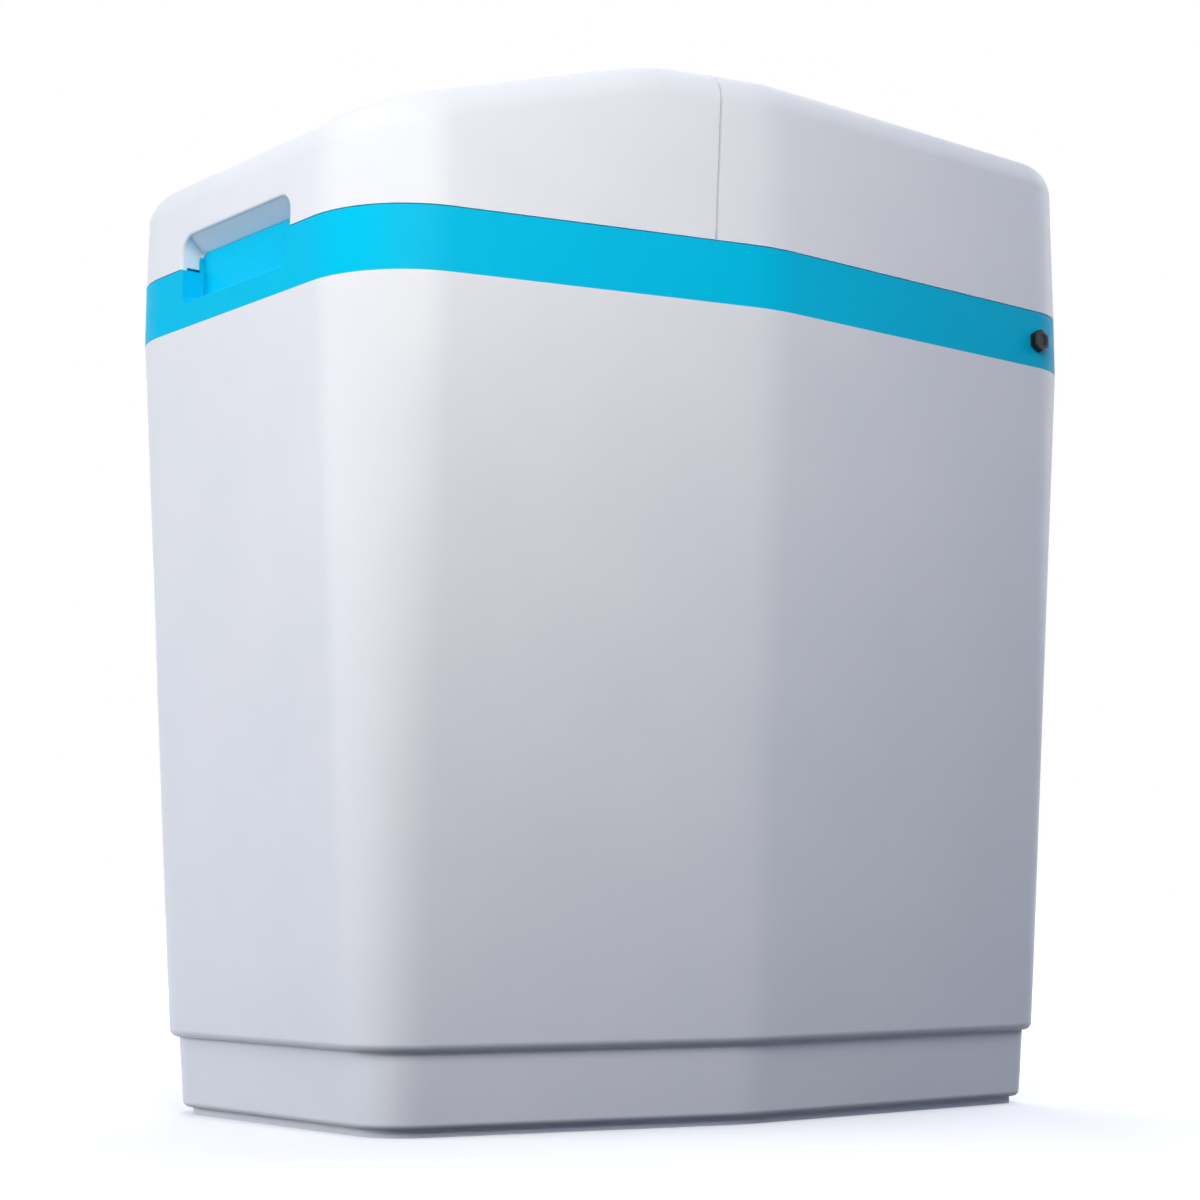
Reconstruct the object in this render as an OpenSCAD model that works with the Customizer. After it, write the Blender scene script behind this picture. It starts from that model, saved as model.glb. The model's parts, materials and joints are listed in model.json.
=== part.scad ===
// Cabinet water softener.
// A drafted white cabinet holds salt and brine at the front and a resin vessel at the rear.
// A blue collar closes the cabinet and carries a hinged salt lid and a fixed rear cover.
// Millimetres, +Z up, front towards -Y, the floor at zero under the middle of the plan.

/* [Cabinet plan] */
// Overall width across the parallel rear sides
body_w = 356; // [336:1:380]
// Width of the front face between its sharp corners
front_w = 239; // [215:1:270]
// Overall depth
body_d = 456; // [446:1:490]
// Depth over which the sides flare out
flare_d = 212; // [190:1:225]
// Radius of the front corners
front_corner_r = 59; // [48:1:66]
// Radius where the flare meets the parallel sides
side_corner_r = 95; // [70:1:110]
// Radius of the rear corners
rear_corner_r = 40; // [38:1:55]

/* [Cabinet heights] */
// Height of the cabinet under the blue band
cabinet_h = 408; // [396:1:430]
// Height of the blue band
band_h = 32; // [29:1:38]
// Height of the stepped-in foot
foot_h = 40; // [30:1:50]
// Height of the standing rim
rim_h = 4; // [2:0.5:6]
// Inset of the cabinet wall where it meets the foot
body_draft = 21.6; // [16:0.2:23]
// Inset of the foot under the cabinet wall
foot_step = 5.2; // [5:0.1:6.5]
// Extra inset at the bottom of the foot
foot_draft = 2.6; // [1.5:0.1:3.6]
// Inset of the standing rim under the foot
rim_step = 5.3; // [4:0.1:7]
// Cabinet wall thickness
cabinet_wall = 4; // [3:0.25:4.5]
// Cabinet floor thickness
floor_t = 6; // [4:0.5:8]

/* [Lid and cover] */
// Height of the flat lid top above the band
lid_h = 92; // [88:1:100]
// Lid wall thickness
lid_wall = 3.4; // [2.8:0.1:3.8]
// Radius of the upper lid edge
lid_edge_r = 18; // [14:0.5:20]
// Distance from the seam forward to the start of the slope
slope_setback = 29; // [21:1:44]
// Slope of the front lid top in degrees
lid_slope = 15; // [10:0.5:16]
// Radius of the ridge where the slope starts
ridge_r = 120; // [60:5:160]
// Distance from the back to the seam at the band
seam_setback = 277; // [272:1:282]
// Backward lean of the seam in degrees
seam_lean = 2.9; // [1.5:0.1:4]
// Width of the seam
seam_gap = 1.2; // [0.8:0.1:1.6]
// Gap under the lid edge
lid_gap = 0.5; // [0.3:0.1:0.8]

/* [Finger pocket] */
// Width of the finger pocket
pocket_w = 105; // [90:1:112]
// Height of the pocket in the lid
pocket_h = 17.5; // [16:0.5:20]
// Radius of the upper pocket corners
pocket_r = 9; // [6:0.5:12]
// Depth of the pocket
pocket_depth = 12.5; // [11:0.5:15]
// Drop of the recess below the top of the band
scoop_drop = 18.5; // [14:0.5:21]
// Rise of the recess wall above the top of the band
scoop_rise = 10.5; // [8:0.5:11]
// Radius of the upper corners of the recess wall
scoop_r = 5; // [2:0.5:7]

/* [Hinge] */
// Distance of each hinge from the middle
hinge_x = 85; // [70:1:100]
// Radius of the hinge barrels
hinge_r = 3.5; // [3:0.1:4]
// Diameter of the hinge pins
hinge_pin_d = 3.5; // [3:0.1:4]
// Length of the barrel on the lid
lid_barrel_l = 24; // [18:1:28]
// Length of each barrel on the cover
cover_barrel_l = 12; // [9:0.5:14]

/* [Resin vessel] */
// Outside diameter of the resin vessel
vessel_d = 200; // [190:1:203]
// Vessel wall thickness
vessel_wall = 3.5; // [2.5:0.1:4]
// Height of the vessel domes
dome_h = 52; // [46:1:58]
// Outside diameter of the riser tube
riser_d = 26.7; // [25:0.1:28]

/* [Brine side] */
// Outside diameter of the brine well
well_d = 80; // [76:1:82]
// Outside diameter of the brine float
float_d = 25; // [20:0.5:25.5]
// Travel of the float rod
float_travel = 10; // [6:0.5:11]
// Outside diameter of the brine tube
tube_d = 9.5; // [8:0.1:10]
// Bend radius of the brine tube
tube_bend = 25; // [20:1:28]
// Height of the salt grid above the cabinet floor
grid_h = 96; // [80:1:120]

/* [Connections] */
// Distance between the water pipes
port_pitch = 52; // [50:0.5:56]
// Outside diameter of the pipe threads
port_d = 26.4; // [24:0.1:27]
// Length of the pipe threads
port_thread_l = 18; // [15:0.5:22]
// Outside diameter of the drain spigot
drain_d = 13; // [12:0.1:14]
// Hexagon of the overflow plug across flats
plug_af = 11.2; // [10:0.1:13]
// Height of the hexagon
plug_head_h = 4.4; // [3:0.1:6]

/* [Control panel] */
// Width of the panel housing
panel_w = 146; // [136:1:148]
// Length of the sloping panel face
panel_h = 70; // [66:1:76]
// Backward tilt of the panel face in degrees
panel_tilt = 24; // [20:1:28]
// Button diameter
button_d = 10; // [9:0.1:12]
// Button travel
button_travel = 1; // [0.6:0.1:1.2]

/* [Hidden] */
$fn = 64;

// Small amount that cuts run past a face
eps = 0.5;
// Clearance of running shafts, on the radius
run_fit = 0.05;
// Clearance of parts that are only located, on the radius
slip_fit = 0.15;
// Clearance of parts that pass each other
pass_fit = 0.6;

// Plan of the cabinet
half_front = front_w / 2;
half_rear = body_w / 2;
y_front = -body_d / 2;
y_rear = body_d / 2;
flare = atan((half_rear - half_front) / flare_d);
min_corner_r = 3;
front_steps = 12;
flank_steps = 10;
side_steps = 4;
rear_steps = 12;

// Levels
band_top = cabinet_h + band_h;
lid_top = band_top + lid_h;
floor_z = rim_h + floor_t;
step_r = 4.2;
foot_r = 3;
foot_inset_top = body_draft + foot_step;
foot_inset_low = foot_inset_top + foot_draft;
rim_inset = foot_inset_low + rim_step;
floor_inset = foot_inset_low + cabinet_wall;
round_steps = 4;

// Collar
band_wall = 7.5;
tongue_t = 3;
tongue_h = 14;
lip_t = 3;
lip_h = 9.5;
lip_inset = lid_wall + pass_fit;
tongue_inset = cabinet_wall + slip_fit + body_draft * tongue_h / (cabinet_h - foot_h - step_r);
scoop_wall = 3;
scoop_z = band_top - scoop_drop;
hood_t = 2.6;
hood_gap = 0.8;
hood_lift = 2;
scoop_cheek = 3;
cheek_t = scoop_cheek - pass_fit;
nut_gap = 1;

// Deck
deck_drop = 26;
deck_t = 4;
ledge_t = 5;
ledge_w = 19;
deck_setback = 13;
deck_top = band_top - deck_drop;
ledge_z = deck_top - deck_t - ledge_t;
seam_y = y_rear - seam_setback;
deck_front = seam_y + deck_setback;
deck_inset = max(band_wall, tongue_inset + tongue_t) + pass_fit;
ledge_screw_in = 5;
deck_screw_front = 56;
deck_screw_rear = 70;
deck_screw_x = half_rear - ledge_w + ledge_screw_in;
deck_screw_y1 = deck_front + deck_screw_front;
deck_screw_y2 = y_rear - deck_screw_rear;

// Screws
screw_r = 1.9;
screw_hole_r = 2.2;
screw_head_r = 3.8;
screw_head_h = 2.4;

// Lid
lid_draft = 0.6;
lid_round_steps = 6;
lid_lap = 6;
lid_lap_t = 2.4;
lap_gap = 1;
lap_root = 1;
lap_steps = 3;
hinge_rise = 1;
hinge_y = seam_y + lid_h * tan(seam_lean);
hinge_z = lid_top + hinge_rise;
barrel_gap = 0.5;
barrel_pocket = 0.6;
fairing_l = 14;
fairing_sink = 2;

// Resin vessel
vessel_r = vessel_d / 2;
boot_wall = 4;
boot_gap = 2.5;
boot_h = 74;
vessel_lift = 4;
neck_rise = 16;
neck_h = 26;
neck_r = 40;
neck_bore = 31.5;
vessel_y = y_rear - floor_inset - boot_wall - boot_gap - vessel_r;
vessel_z = floor_z + vessel_lift;
neck_top = deck_top + neck_rise;
dome_steps = 12;
riser_r = riser_d / 2;
riser_wall = 2.8;
riser_lift = 4;
riser_grip = 6;
riser_room = 2;
riser_z = vessel_z + vessel_wall + riser_lift;
basket_r = 27;
basket_h = 40;
basket_wall = 2.5;
basket_grip = 16;
neck_gap = 2;
slot_count = 16;
slot_w = 1.2;
top_basket_r = 24;
top_basket_h = 34;
bed_share = 0.72;

// Valve, heights above the vessel neck
valve_z = neck_top;
spigot_r = 31;
spigot_h = 20;
seal_r = 2;
flange_r = 42;
flange_h = 8;
valve_r = 34;
valve_h = 44;
disc_r = 24;
disc_t = 4.9;
disc_hole_r = 4;
disc_hole_ring = 14;
cap_r = 36;
cap_h = 6;
shaft_r = 6;
shaft_seat_r = 5;
gear_lift = 3;
gear_h = 8;
gear_module = 1.5;
gear_teeth = 50;
pinion_teeth = 14;
pressure_angle = 20;
gear_backlash = 0.35;
addendum = 0.8;
dedendum = 1.1;
gear_distance = gear_module * (gear_teeth + pinion_teeth) / 2;
motor_r = 12;
motor_h = 34;
motor_boss_r = 5;
motor_rim = 2;
motor_gap = 2;
spindle_r = 2;
arm_w = 22;
valve_screw_ring = 30;
valve_screw_l = 10;
valve_screw_room = 2;
shaft_over = 2;
gear_holes = 5;
gear_hole_r = 7;
gear_hole_ring = 20;
port_lift = 24;
port_z = valve_z + port_lift;
port_x = port_pitch / 2;
boss_r = 15;
boss_reach = 56;
boss_end = vessel_y + boss_reach;
pipe_r = 10;
pipe_bore = 8;
pipe_grip = 20;
clip_rim = 2;
clip_rim_t = 3;
clip_t = 2.2;
clip_angle = 250;
thread_out = 6;
thread_start = y_rear + thread_out;
thread_end = thread_start + port_thread_l;
collar_rim = 1.6;
collar_l = 5;
collar_gap = 1.6;
collar_r = port_d / 2 + collar_rim;
port_slot_r = collar_r + collar_gap;
drain_r = drain_d / 2;
drain_reach = 32;
drain_x = -(valve_r + drain_reach);
drain_bore = 4.2;
drain_boss_r = 9;
drain_boss_l = 11;
drain_boss_end = valve_r + drain_boss_l;
drain_gap = 3;
drain_slot_r = drain_r + drain_gap;
drain_step = 1;
drain_sink = 2;
drain_collar = 1.5;
drain_collar_out = 2;
drain_back = 2;
injector_r = 10;
injector_bore = 7;
injector_reach = 10;
injector_lift = 22;
injector_gap = 1;
injector_y = vessel_y - valve_r - injector_reach;
injector_z = valve_z + injector_lift;
injector_cap_r = 12;
injector_cap_t = 6;
brine_port_y = injector_y + injector_r;
brine_port_end = 22;
brine_port_wall = 2;
tube_grip = 8;
brine_nut_l = 9;
brine_nut_af = 15;
turbine_set = 26;
turbine_y = boss_end + turbine_set;
turbine_r = 7;
turbine_l = 7;
turbine_hub_r = 2.6;
turbine_pin_r = 1;
turbine_guide_l = 5;
turbine_guide_gap = 1;
turbine_guide_wall = 1.2;
turbine_blades = 4;
blade_t = 0.9;
blade_pitch = 35;

// Brine side
tube_r = tube_d / 2;
well_r = well_d / 2;
well_wall = 3;
well_gap = 2;
well_clear = 4;
well_y = deck_front - well_r - well_clear;
well_wall_x = half_front + (well_y - y_front) * tan(flare) - floor_inset / cos(flare);
well_x = -(well_wall_x - (well_r + well_gap) / cos(flare));
well_drop = 2;
well_top = deck_top - well_drop;
well_slot_w = 5;
well_slot_h = 60;
well_slots = 6;
cap_t = 3;
cap_skirt = 8;
cap_rim = 2.4;
guide_drop = 32;
guide_z = well_top - guide_drop;
guide_t = 6;
guide_w = 9;
brine_valve_r = 10;
brine_valve_h = 30;
brine_socket = 15;
check_r = 6.5;
check_wall = 1.5;
check_cage_r = 11;
check_cage_h = 32;
check_gap = 4;
check_slots = 8;
check_slot_w = 2;
float_r = float_d / 2;
float_gap = 1;
float_x = -(check_r + float_r + float_gap);
float_l = 70;
float_hang = 110;
float_z = guide_z - float_hang;
rod_r = 2;
rod_stop_r = 4;
rod_stop_t = 3;
rod_low = 40;
rod_high = 16;
grid_t = 4;
grid_gap = 3;
grid_z = floor_z + grid_h;
grid_rear = vessel_y - vessel_r - 5;
grid_hole_r = 4;
grid_pitch = 20;
grid_edge = 9;
leg_r = 8;

// Overflow plug on the right side of the band
plug_back = 1;
plug_drop = 1;
plug_y = y_rear - rear_corner_r - plug_back;
plug_z = band_top - band_h / 2 - plug_drop;
plug_shank_r = 4;
plug_hole_r = 4.2;
plug_pad = 1.2;
plug_face = band_wall + plug_pad;
plug_nut_af = 13;
plug_nut_h = 5;
plug_seal_r = 7;
plug_seal_t = 1.5;

// Power inlet in the back of the cover
inlet_reach = 44;
inlet_x = port_x + inlet_reach;
inlet_z = port_z;
inlet_r = 6;
inlet_flange_r = 9;
inlet_flange_t = 2;
inlet_l = 15;
inlet_bore_r = 3.2;
inlet_bore_l = 10;
inlet_pin_r = 1;
inlet_pin_back = 1;
inlet_nut_af = 16;
inlet_nut_t = 3;
cover_screw_x = 110;
cover_screw_rise = 5.5;
cover_screw_z = band_top + cover_screw_rise;
cover_screw_l = 9;

// Control panel
panel_set = 2;
tube_gap = 3;
panel_x = max(0, well_x + tube_r + tube_gap + panel_w / 2);
panel_y = deck_front + panel_set;
panel_t = 2.5;
panel_depth = 42;
panel_top_y = panel_y + panel_h * sin(panel_tilt);
panel_top_z = deck_top + panel_h * cos(panel_tilt);
window_w = 60;
window_h = 26;
window_v = 43;
window_fit = 0.2;
module_rim = 1;
button_v = 17;
button_pitch = 24;
button_r = button_d / 2;
button_proud = 1.6;
button_flange = 1.4;
button_flange_t = 1.5;
button_gap = 0.2;
board_w = 124;
board_z = -12.6;
board_t = 1.6;
board_low = 9;
board_high = 60;
board_post_x = 55;
board_post_r = 3;
board_post_low = 12;
board_post_high = 56;
board_screw_l = 6;
switch_w = 6;
switch_h = -board_z - board_t - panel_t - 2 * button_gap - button_flange_t - button_travel;
panel_tab_in = 13;
panel_tab_x = panel_w / 2 - panel_tab_in;
panel_tab_w = 12;
panel_tab_l = 14;
panel_tab_t = 3;

// Colours
white = "#EEF1F6";
blue = "#12B2E4";
black = "#1A1B1F";
grey = "#8D9299";
steel = "#C3C7CC";

// Plan of the cabinet at an inset, and bodies lofted from it

function front_corner(d) = [half_front + d * tan(flare) - d / cos(flare), y_front + d];

function side_corner(d) =
  [half_rear - d, y_front + (half_rear - half_front - d + d / cos(flare)) / tan(flare)];

function rear_corner(d) = [half_rear - d, y_rear - d];

function corner_radius(r, d) = max(r - d, min_corner_r);

function arc(centre, r, from, to, steps) =
  [for (i = [0:steps]) let (a = from + (to - from) * i / steps) centre + r * [cos(a), sin(a)]];

function between(a, b, steps) = [for (i = [1:steps - 1]) a + (b - a) * i / steps];

function half_plan(d) =
  let (rf = corner_radius(front_corner_r, d))
  let (rs = corner_radius(side_corner_r, d))
  let (rr = corner_radius(rear_corner_r, d))
  let (front = arc(front_corner(d + rf), rf, -90, -flare, front_steps))
  let (side = arc(side_corner(d + rs), rs, -flare, 0, side_steps))
  let (rear = arc(rear_corner(d + rr), rr, 0, 90, rear_steps))
  concat(front, between(front[front_steps], side[0], flank_steps), side, rear);

function mirrored(points) = [for (i = [len(points) - 1:-1:0]) [-points[i].x, points[i].y]];

function plan(d) = let (half = half_plan(d)) concat(half, mirrored(half));

function ring(d, z) = [for (p = plan(d)) [p.x, p.y, z]];

function plan_half_width(y, d) =
  min(half_rear - d, half_front + (y - y_front) * tan(flare) - d / cos(flare));

// Rings of equal length joined into one closed body, capped by strips from side to side
module loft(rings) {
  n = len(rings[0]);
  half = n / 2;
  top = (len(rings) - 1) * n;
  points = [for (r = rings) each r];
  sides = [for (k = [0:len(rings) - 2]) for (i = [0:n - 1])
    let (a = k * n + i) let (b = k * n + (i + 1) % n)
    each [[a, a + n, b + n], [a, b + n, b]]];
  low = [for (i = [0:half - 2]) each [[i, i + 1, n - 2 - i], [i, n - 2 - i, n - 1 - i]]];
  high = [for (i = [0:half - 2])
    each [[top + n - 1 - i, top + n - 2 - i, top + i + 1], [top + n - 1 - i, top + i + 1, top + i]]];
  polyhedron(points, concat(sides, low, high));
}

module plan_band(outer, inner, low, high) {
  translate([0, 0, low])
    linear_extrude(high - low)
      difference() {
        polygon(plan(outer));
        polygon(plan(inner));
      }
}

// A slab of the whole width between two depths, leaning with the seam
module seam_slab(from, to) {
  reach = body_w + body_d;
  translate([0, seam_y, band_top])
    rotate([-seam_lean, 0, 0])
      translate([-reach / 2, from, -reach / 2])
        cube([reach, to - from, reach]);
}

module along_y(from, to, r) {
  translate([0, from, 0])
    rotate([-90, 0, 0])
      cylinder(r = r, h = to - from);
}

module along_x(from, to, r) {
  translate([from, 0, 0])
    rotate([0, 90, 0])
      cylinder(r = r, h = to - from);
}

// Hexagon with its corners up and down, along +X
module hexagon_x(af, h) {
  rotate([0, 90, 0])
    cylinder(r = af / 2 / cos(30), h = h, $fn = 6);
}

module screw(l) {
  cylinder(r = screw_head_r, h = screw_head_h);
  translate([0, 0, -l])
    cylinder(r = screw_r, h = l + eps);
}

// Cabinet

function wall_inset(z) = body_draft * (cabinet_h - z) / (cabinet_h - foot_h - step_r);

function cabinet_rings() = concat(
  [ring(rim_inset, 0), ring(rim_inset, rim_h)],
  [for (i = [0:round_steps]) let (a = 90 * i / round_steps)
    ring(foot_inset_low + foot_r * (1 - sin(a)), rim_h + foot_r * (1 - cos(a)))],
  [ring(foot_inset_top, foot_h)],
  [for (i = [0:round_steps]) let (a = 90 * i / round_steps)
    ring(body_draft + step_r * (1 - sin(a)), foot_h + step_r * (1 - cos(a)))],
  [ring(0, cabinet_h)]);

function cabinet_hollow_rings() = [
  ring(floor_inset, floor_z),
  ring(foot_inset_top + cabinet_wall, foot_h),
  ring(body_draft + cabinet_wall, foot_h + step_r),
  ring(cabinet_wall - eps * body_draft / (cabinet_h - foot_h), cabinet_h + eps)];

module cabinet() {
  color(white)
    difference() {
      loft(cabinet_rings());
      loft(cabinet_hollow_rings());
    }
}

// Collar

module pocket_arch(w, h, r) {
  union() {
    translate([-w / 2, 0])
      square([w, h - r]);
    translate([r - w / 2, 0])
      square([w - 2 * r, h]);
    for (side = [-1, 1])
      translate([side * (w / 2 - r), h - r])
        circle(r = r);
  }
}

module pocket_prism(w, h, r, low, from, to) {
  translate([0, y_front + to, low])
    rotate([90, 0, 0])
      linear_extrude(to - from)
        pocket_arch(w, h, r);
}

// The finger recess below the lid's pocket, with round lower corners
module scoop_cut() {
  translate([0, 0, 2 * band_top])
    mirror([0, 0, 1])
      pocket_prism(pocket_w, lid_h + scoop_drop, scoop_r, band_top - lid_h, -eps, pocket_depth);
}

// The upstand turns in behind the pocket as a cheek on each side
module pocket_cheeks() {
  cheek_x = pocket_w / 2 + hood_t + pass_fit;
  cheek_y = y_front + band_wall - eps;
  for (side = [-1, 1])
    translate([side * (cheek_x + cheek_t / 2) - cheek_t / 2, cheek_y, band_top - eps])
      cube([cheek_t, pocket_depth + scoop_wall - band_wall + eps, lip_h + eps]);
}

module deck_screw_places() {
  for (side = [-1, 1])
    for (y = [deck_screw_y1, deck_screw_y2])
      translate([side * deck_screw_x, y, deck_top])
        children();
}

module cover_screw_places() {
  for (side = [-1, 1])
    translate([side * cover_screw_x, y_rear + run_fit, cover_screw_z])
      rotate([-90, 0, 0])
        children();
}

// Gaps in the upstand for the finger pocket and for what passes the back of the cover
module lip_gaps() {
  gap_w = pocket_w + 2 * hood_t + 2 * pass_fit;
  inlet_gap = inlet_nut_af / 2 / cos(30) + nut_gap;
  translate([-gap_w / 2, y_front - eps, band_top])
    cube([gap_w, pocket_depth + scoop_wall + 2 * eps, lip_h + eps]);
  port_slots();
  translate([inlet_x - inlet_gap, y_rear - ledge_w, band_top])
    cube([2 * inlet_gap, ledge_w + eps, lip_h + eps]);
}

module collar() {
  block_w = pocket_w + 2 * hood_t + 2 * scoop_cheek;
  block_d = pocket_depth + scoop_wall;
  color(blue)
    difference() {
      union() {
        plan_band(0, band_wall, cabinet_h, band_top);
        plan_band(tongue_inset, tongue_inset + tongue_t, cabinet_h - tongue_h, cabinet_h + lip_t);
        difference() {
          plan_band(lip_inset, lip_inset + lip_t, band_top - lip_t, band_top + lip_h);
          lip_gaps();
        }
        intersection() {
          plan_band(tongue_inset + tongue_t - eps, ledge_w, ledge_z, ledge_z + ledge_t);
          translate([-body_w, deck_front, 0])
            cube([2 * body_w, body_d, lid_top]);
        }
        translate([-block_w / 2, y_front + band_wall - eps, scoop_z - scoop_wall])
          cube([block_w, block_d - band_wall + eps, scoop_drop + scoop_wall]);
        pocket_prism(pocket_w - 2 * pass_fit, scoop_rise + eps, scoop_r, band_top - eps,
          pocket_depth - eps, pocket_depth + scoop_wall);
        pocket_cheeks();
        translate([half_rear, plug_y, plug_z])
          along_x(-band_wall - plug_pad, -band_wall / 2, plug_seal_r + plug_pad);
      }
      scoop_cut();
      translate([half_rear, plug_y, plug_z])
        along_x(-band_wall - plug_pad - eps, eps, plug_hole_r);
      deck_screw_places()
        translate([0, 0, -deck_t - ledge_t - eps])
          cylinder(r = screw_r + run_fit, h = ledge_t + 2 * eps);
      cover_screw_places()
        translate([0, 0, -lip_inset - lip_t - eps])
          cylinder(r = screw_r + run_fit, h = lip_t + 2 * eps);
    }
}

// Lid shell, shared by the front lid and the rear cover

function lid_surface(y) =
  let (ridge_y = seam_y - slope_setback)
  let (reach = ridge_r * tan(lid_slope / 2))
  let (run = ridge_y + reach - y)
  run <= 0 ? lid_top
  : run < ridge_r * sin(lid_slope) ? lid_top - ridge_r + sqrt(ridge_r * ridge_r - run * run)
  : lid_top - (ridge_y - y) * tan(lid_slope);

function lid_ring(d, drop) = [for (p = plan(d)) [p.x, p.y, lid_surface(p.y) - drop]];

function lid_rings(inset, low, steps) =
  let (r = lid_edge_r - inset)
  concat(
    [ring(inset, low)],
    [for (i = [0:steps]) let (a = 90 * i / steps)
      lid_ring(inset + lid_draft + r * (1 - cos(a)), inset + r * (1 - sin(a)))]);

module lid_shell() {
  difference() {
    loft(lid_rings(0, band_top + lid_gap, lid_round_steps));
    loft(lid_rings(lid_wall, band_top - eps, lid_round_steps - 2));
  }
}

// Barrel with a fairing that runs onto the skin, on the lid side (-1) or the cover side (+1)
module barrel(l, side) {
  along_x(-l / 2, l / 2, hinge_r);
  translate([-l / 2, 0, 0])
    rotate([90, 0, 90])
      linear_extrude(l)
        polygon([
          [0, hinge_r], [side * fairing_l, -hinge_rise], [side * fairing_l, -hinge_rise - fairing_sink],
          [0, -hinge_rise - fairing_sink]]);
}

// Bore for a hinge pin, and the room that a barrel of the other piece takes
module pin_bore(reach, fit) {
  along_x(-reach, reach, hinge_pin_d / 2 + fit);
}

module barrel_room(l) {
  along_x(-l / 2 - barrel_gap, l / 2 + barrel_gap, hinge_r + barrel_pocket);
}

module at_hinges() {
  for (side = [-1, 1])
    translate([side * hinge_x, hinge_y, hinge_z])
      children();
}

module at_cover_barrels() {
  for (side = [-1, 1])
    translate([side * (lid_barrel_l / 2 + barrel_gap + cover_barrel_l / 2), 0, 0])
      children();
}

module front_lid() {
  arch_w = pocket_w + 2 * hood_t;
  hood_low = band_top + hood_lift;
  color(white)
    difference() {
      union() {
        intersection() {
          lid_shell();
          seam_slab(-body_d, -seam_gap / 2);
        }
        pocket_prism(arch_w, pocket_h + hood_t - hood_lift, pocket_r + hood_t, hood_low,
          lid_wall - eps, pocket_depth + hood_t);
        at_hinges()
          barrel(lid_barrel_l, -1);
      }
      pocket_prism(pocket_w, pocket_h + band_h, pocket_r, band_top - band_h, -eps, pocket_depth);
      pocket_prism(pocket_w, band_h + scoop_rise + hood_gap, scoop_r + pass_fit, band_top - band_h,
        pocket_depth - eps, pocket_depth + hood_t + eps);
      at_hinges() {
        pin_bore(lid_barrel_l, run_fit);
        at_cover_barrels()
          barrel_room(cover_barrel_l);
      }
    }
}

module port_slots() {
  for (slot = [[port_x, port_slot_r], [-port_x, port_slot_r], [drain_x, drain_slot_r]])
    translate([slot.x, 0, 0]) {
      translate([0, 0, port_z])
        along_y(y_rear - ledge_w, y_rear + eps, slot.y);
      translate([-slot.y, y_rear - ledge_w, band_top - eps])
        cube([2 * slot.y, ledge_w + eps, port_z - band_top + eps]);
    }
}

module rear_cover() {
  lap = lid_wall + pass_fit;
  color(white)
    difference() {
      union() {
        intersection() {
          lid_shell();
          seam_slab(seam_gap / 2, body_d);
        }
        intersection() {
          difference() {
            loft(lid_rings(lap, band_top + lip_h + lap_gap, lap_steps));
            loft(lid_rings(lap + lid_lap_t, band_top, lap_steps));
          }
          seam_slab(-lid_lap, lid_lap);
        }
        intersection() {
          difference() {
            loft(lid_rings(lid_wall - eps, band_top + lip_h + lap_gap, lap_steps));
            loft(lid_rings(lap + lid_lap_t, band_top, lap_steps));
          }
          seam_slab(lap_root, lid_lap);
        }
        at_hinges()
          at_cover_barrels()
            barrel(cover_barrel_l, 1);
      }
      port_slots();
      translate([inlet_x, 0, inlet_z])
        along_y(y_rear - ledge_w, y_rear + eps, inlet_r + slip_fit);
      cover_screw_places()
        translate([0, 0, -lid_wall - eps])
          cylinder(r = screw_hole_r, h = lid_wall + 2 * eps);
      at_hinges() {
        pin_bore(lid_barrel_l + cover_barrel_l, run_fit / 2);
        barrel_room(lid_barrel_l);
      }
    }
}

module hinge_pins() {
  reach = lid_barrel_l / 2 + barrel_gap + cover_barrel_l;
  color(steel)
    at_hinges()
      along_x(-reach, reach, hinge_pin_d / 2);
}

module cover_screws() {
  color(steel)
    cover_screw_places()
      screw(cover_screw_l);
}

// Overflow plug

module at_plug(depth) {
  translate([half_rear + depth, plug_y, plug_z])
    children();
}

module overflow_plug() {
  reach = plug_face + plug_seal_t + plug_nut_h;
  color(black)
    at_plug(run_fit) {
      hexagon_x(plug_af, plug_head_h);
      along_x(-reach, eps, plug_shank_r);
    }
}

module overflow_seal() {
  color(black)
    at_plug(-plug_face - plug_seal_t)
      difference() {
        along_x(0, plug_seal_t, plug_seal_r);
        along_x(-eps, plug_seal_t + eps, plug_hole_r);
      }
}

module overflow_nut() {
  color(black)
    at_plug(-plug_face - plug_seal_t - plug_nut_h)
      difference() {
        hexagon_x(plug_nut_af, plug_nut_h);
        along_x(-eps, plug_nut_h + eps, plug_shank_r + run_fit);
      }
}

// Deck under the valve

module deck() {
  color(grey)
    difference() {
      intersection() {
        translate([0, 0, deck_top - deck_t])
          linear_extrude(deck_t)
            polygon(plan(deck_inset));
        translate([-body_w, deck_front, 0])
          cube([2 * body_w, body_d, lid_top]);
      }
      translate([0, vessel_y, 0])
        cylinder(r = neck_r + neck_gap, h = lid_top);
      deck_screw_places()
        translate([0, 0, -deck_t - eps])
          cylinder(r = screw_hole_r, h = deck_t + 2 * eps);
      panel_tab_places()
        translate([0, 0, -deck_t - eps])
          cylinder(r = screw_r + run_fit, h = deck_t + 2 * eps);
    }
}

module deck_screws() {
  color(steel)
    deck_screw_places()
      screw(deck_t + ledge_t);
}

// Resin vessel

function dome(r, h, centre, from, to) =
  [for (i = [0:dome_steps]) let (a = from + (to - from) * i / dome_steps)
    [r * cos(a), centre + h * sin(a)]];

neck_angle = acos(neck_r / vessel_r);
dome_low = vessel_z + dome_h;
dome_high = neck_top - neck_h - dome_h * sin(neck_angle);
inner_r = vessel_r - vessel_wall;
inner_dome_h = dome_h - vessel_wall;
bore_angle = acos(neck_bore / inner_r);

module at_vessel() {
  translate([0, vessel_y, 0])
    children();
}

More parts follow.
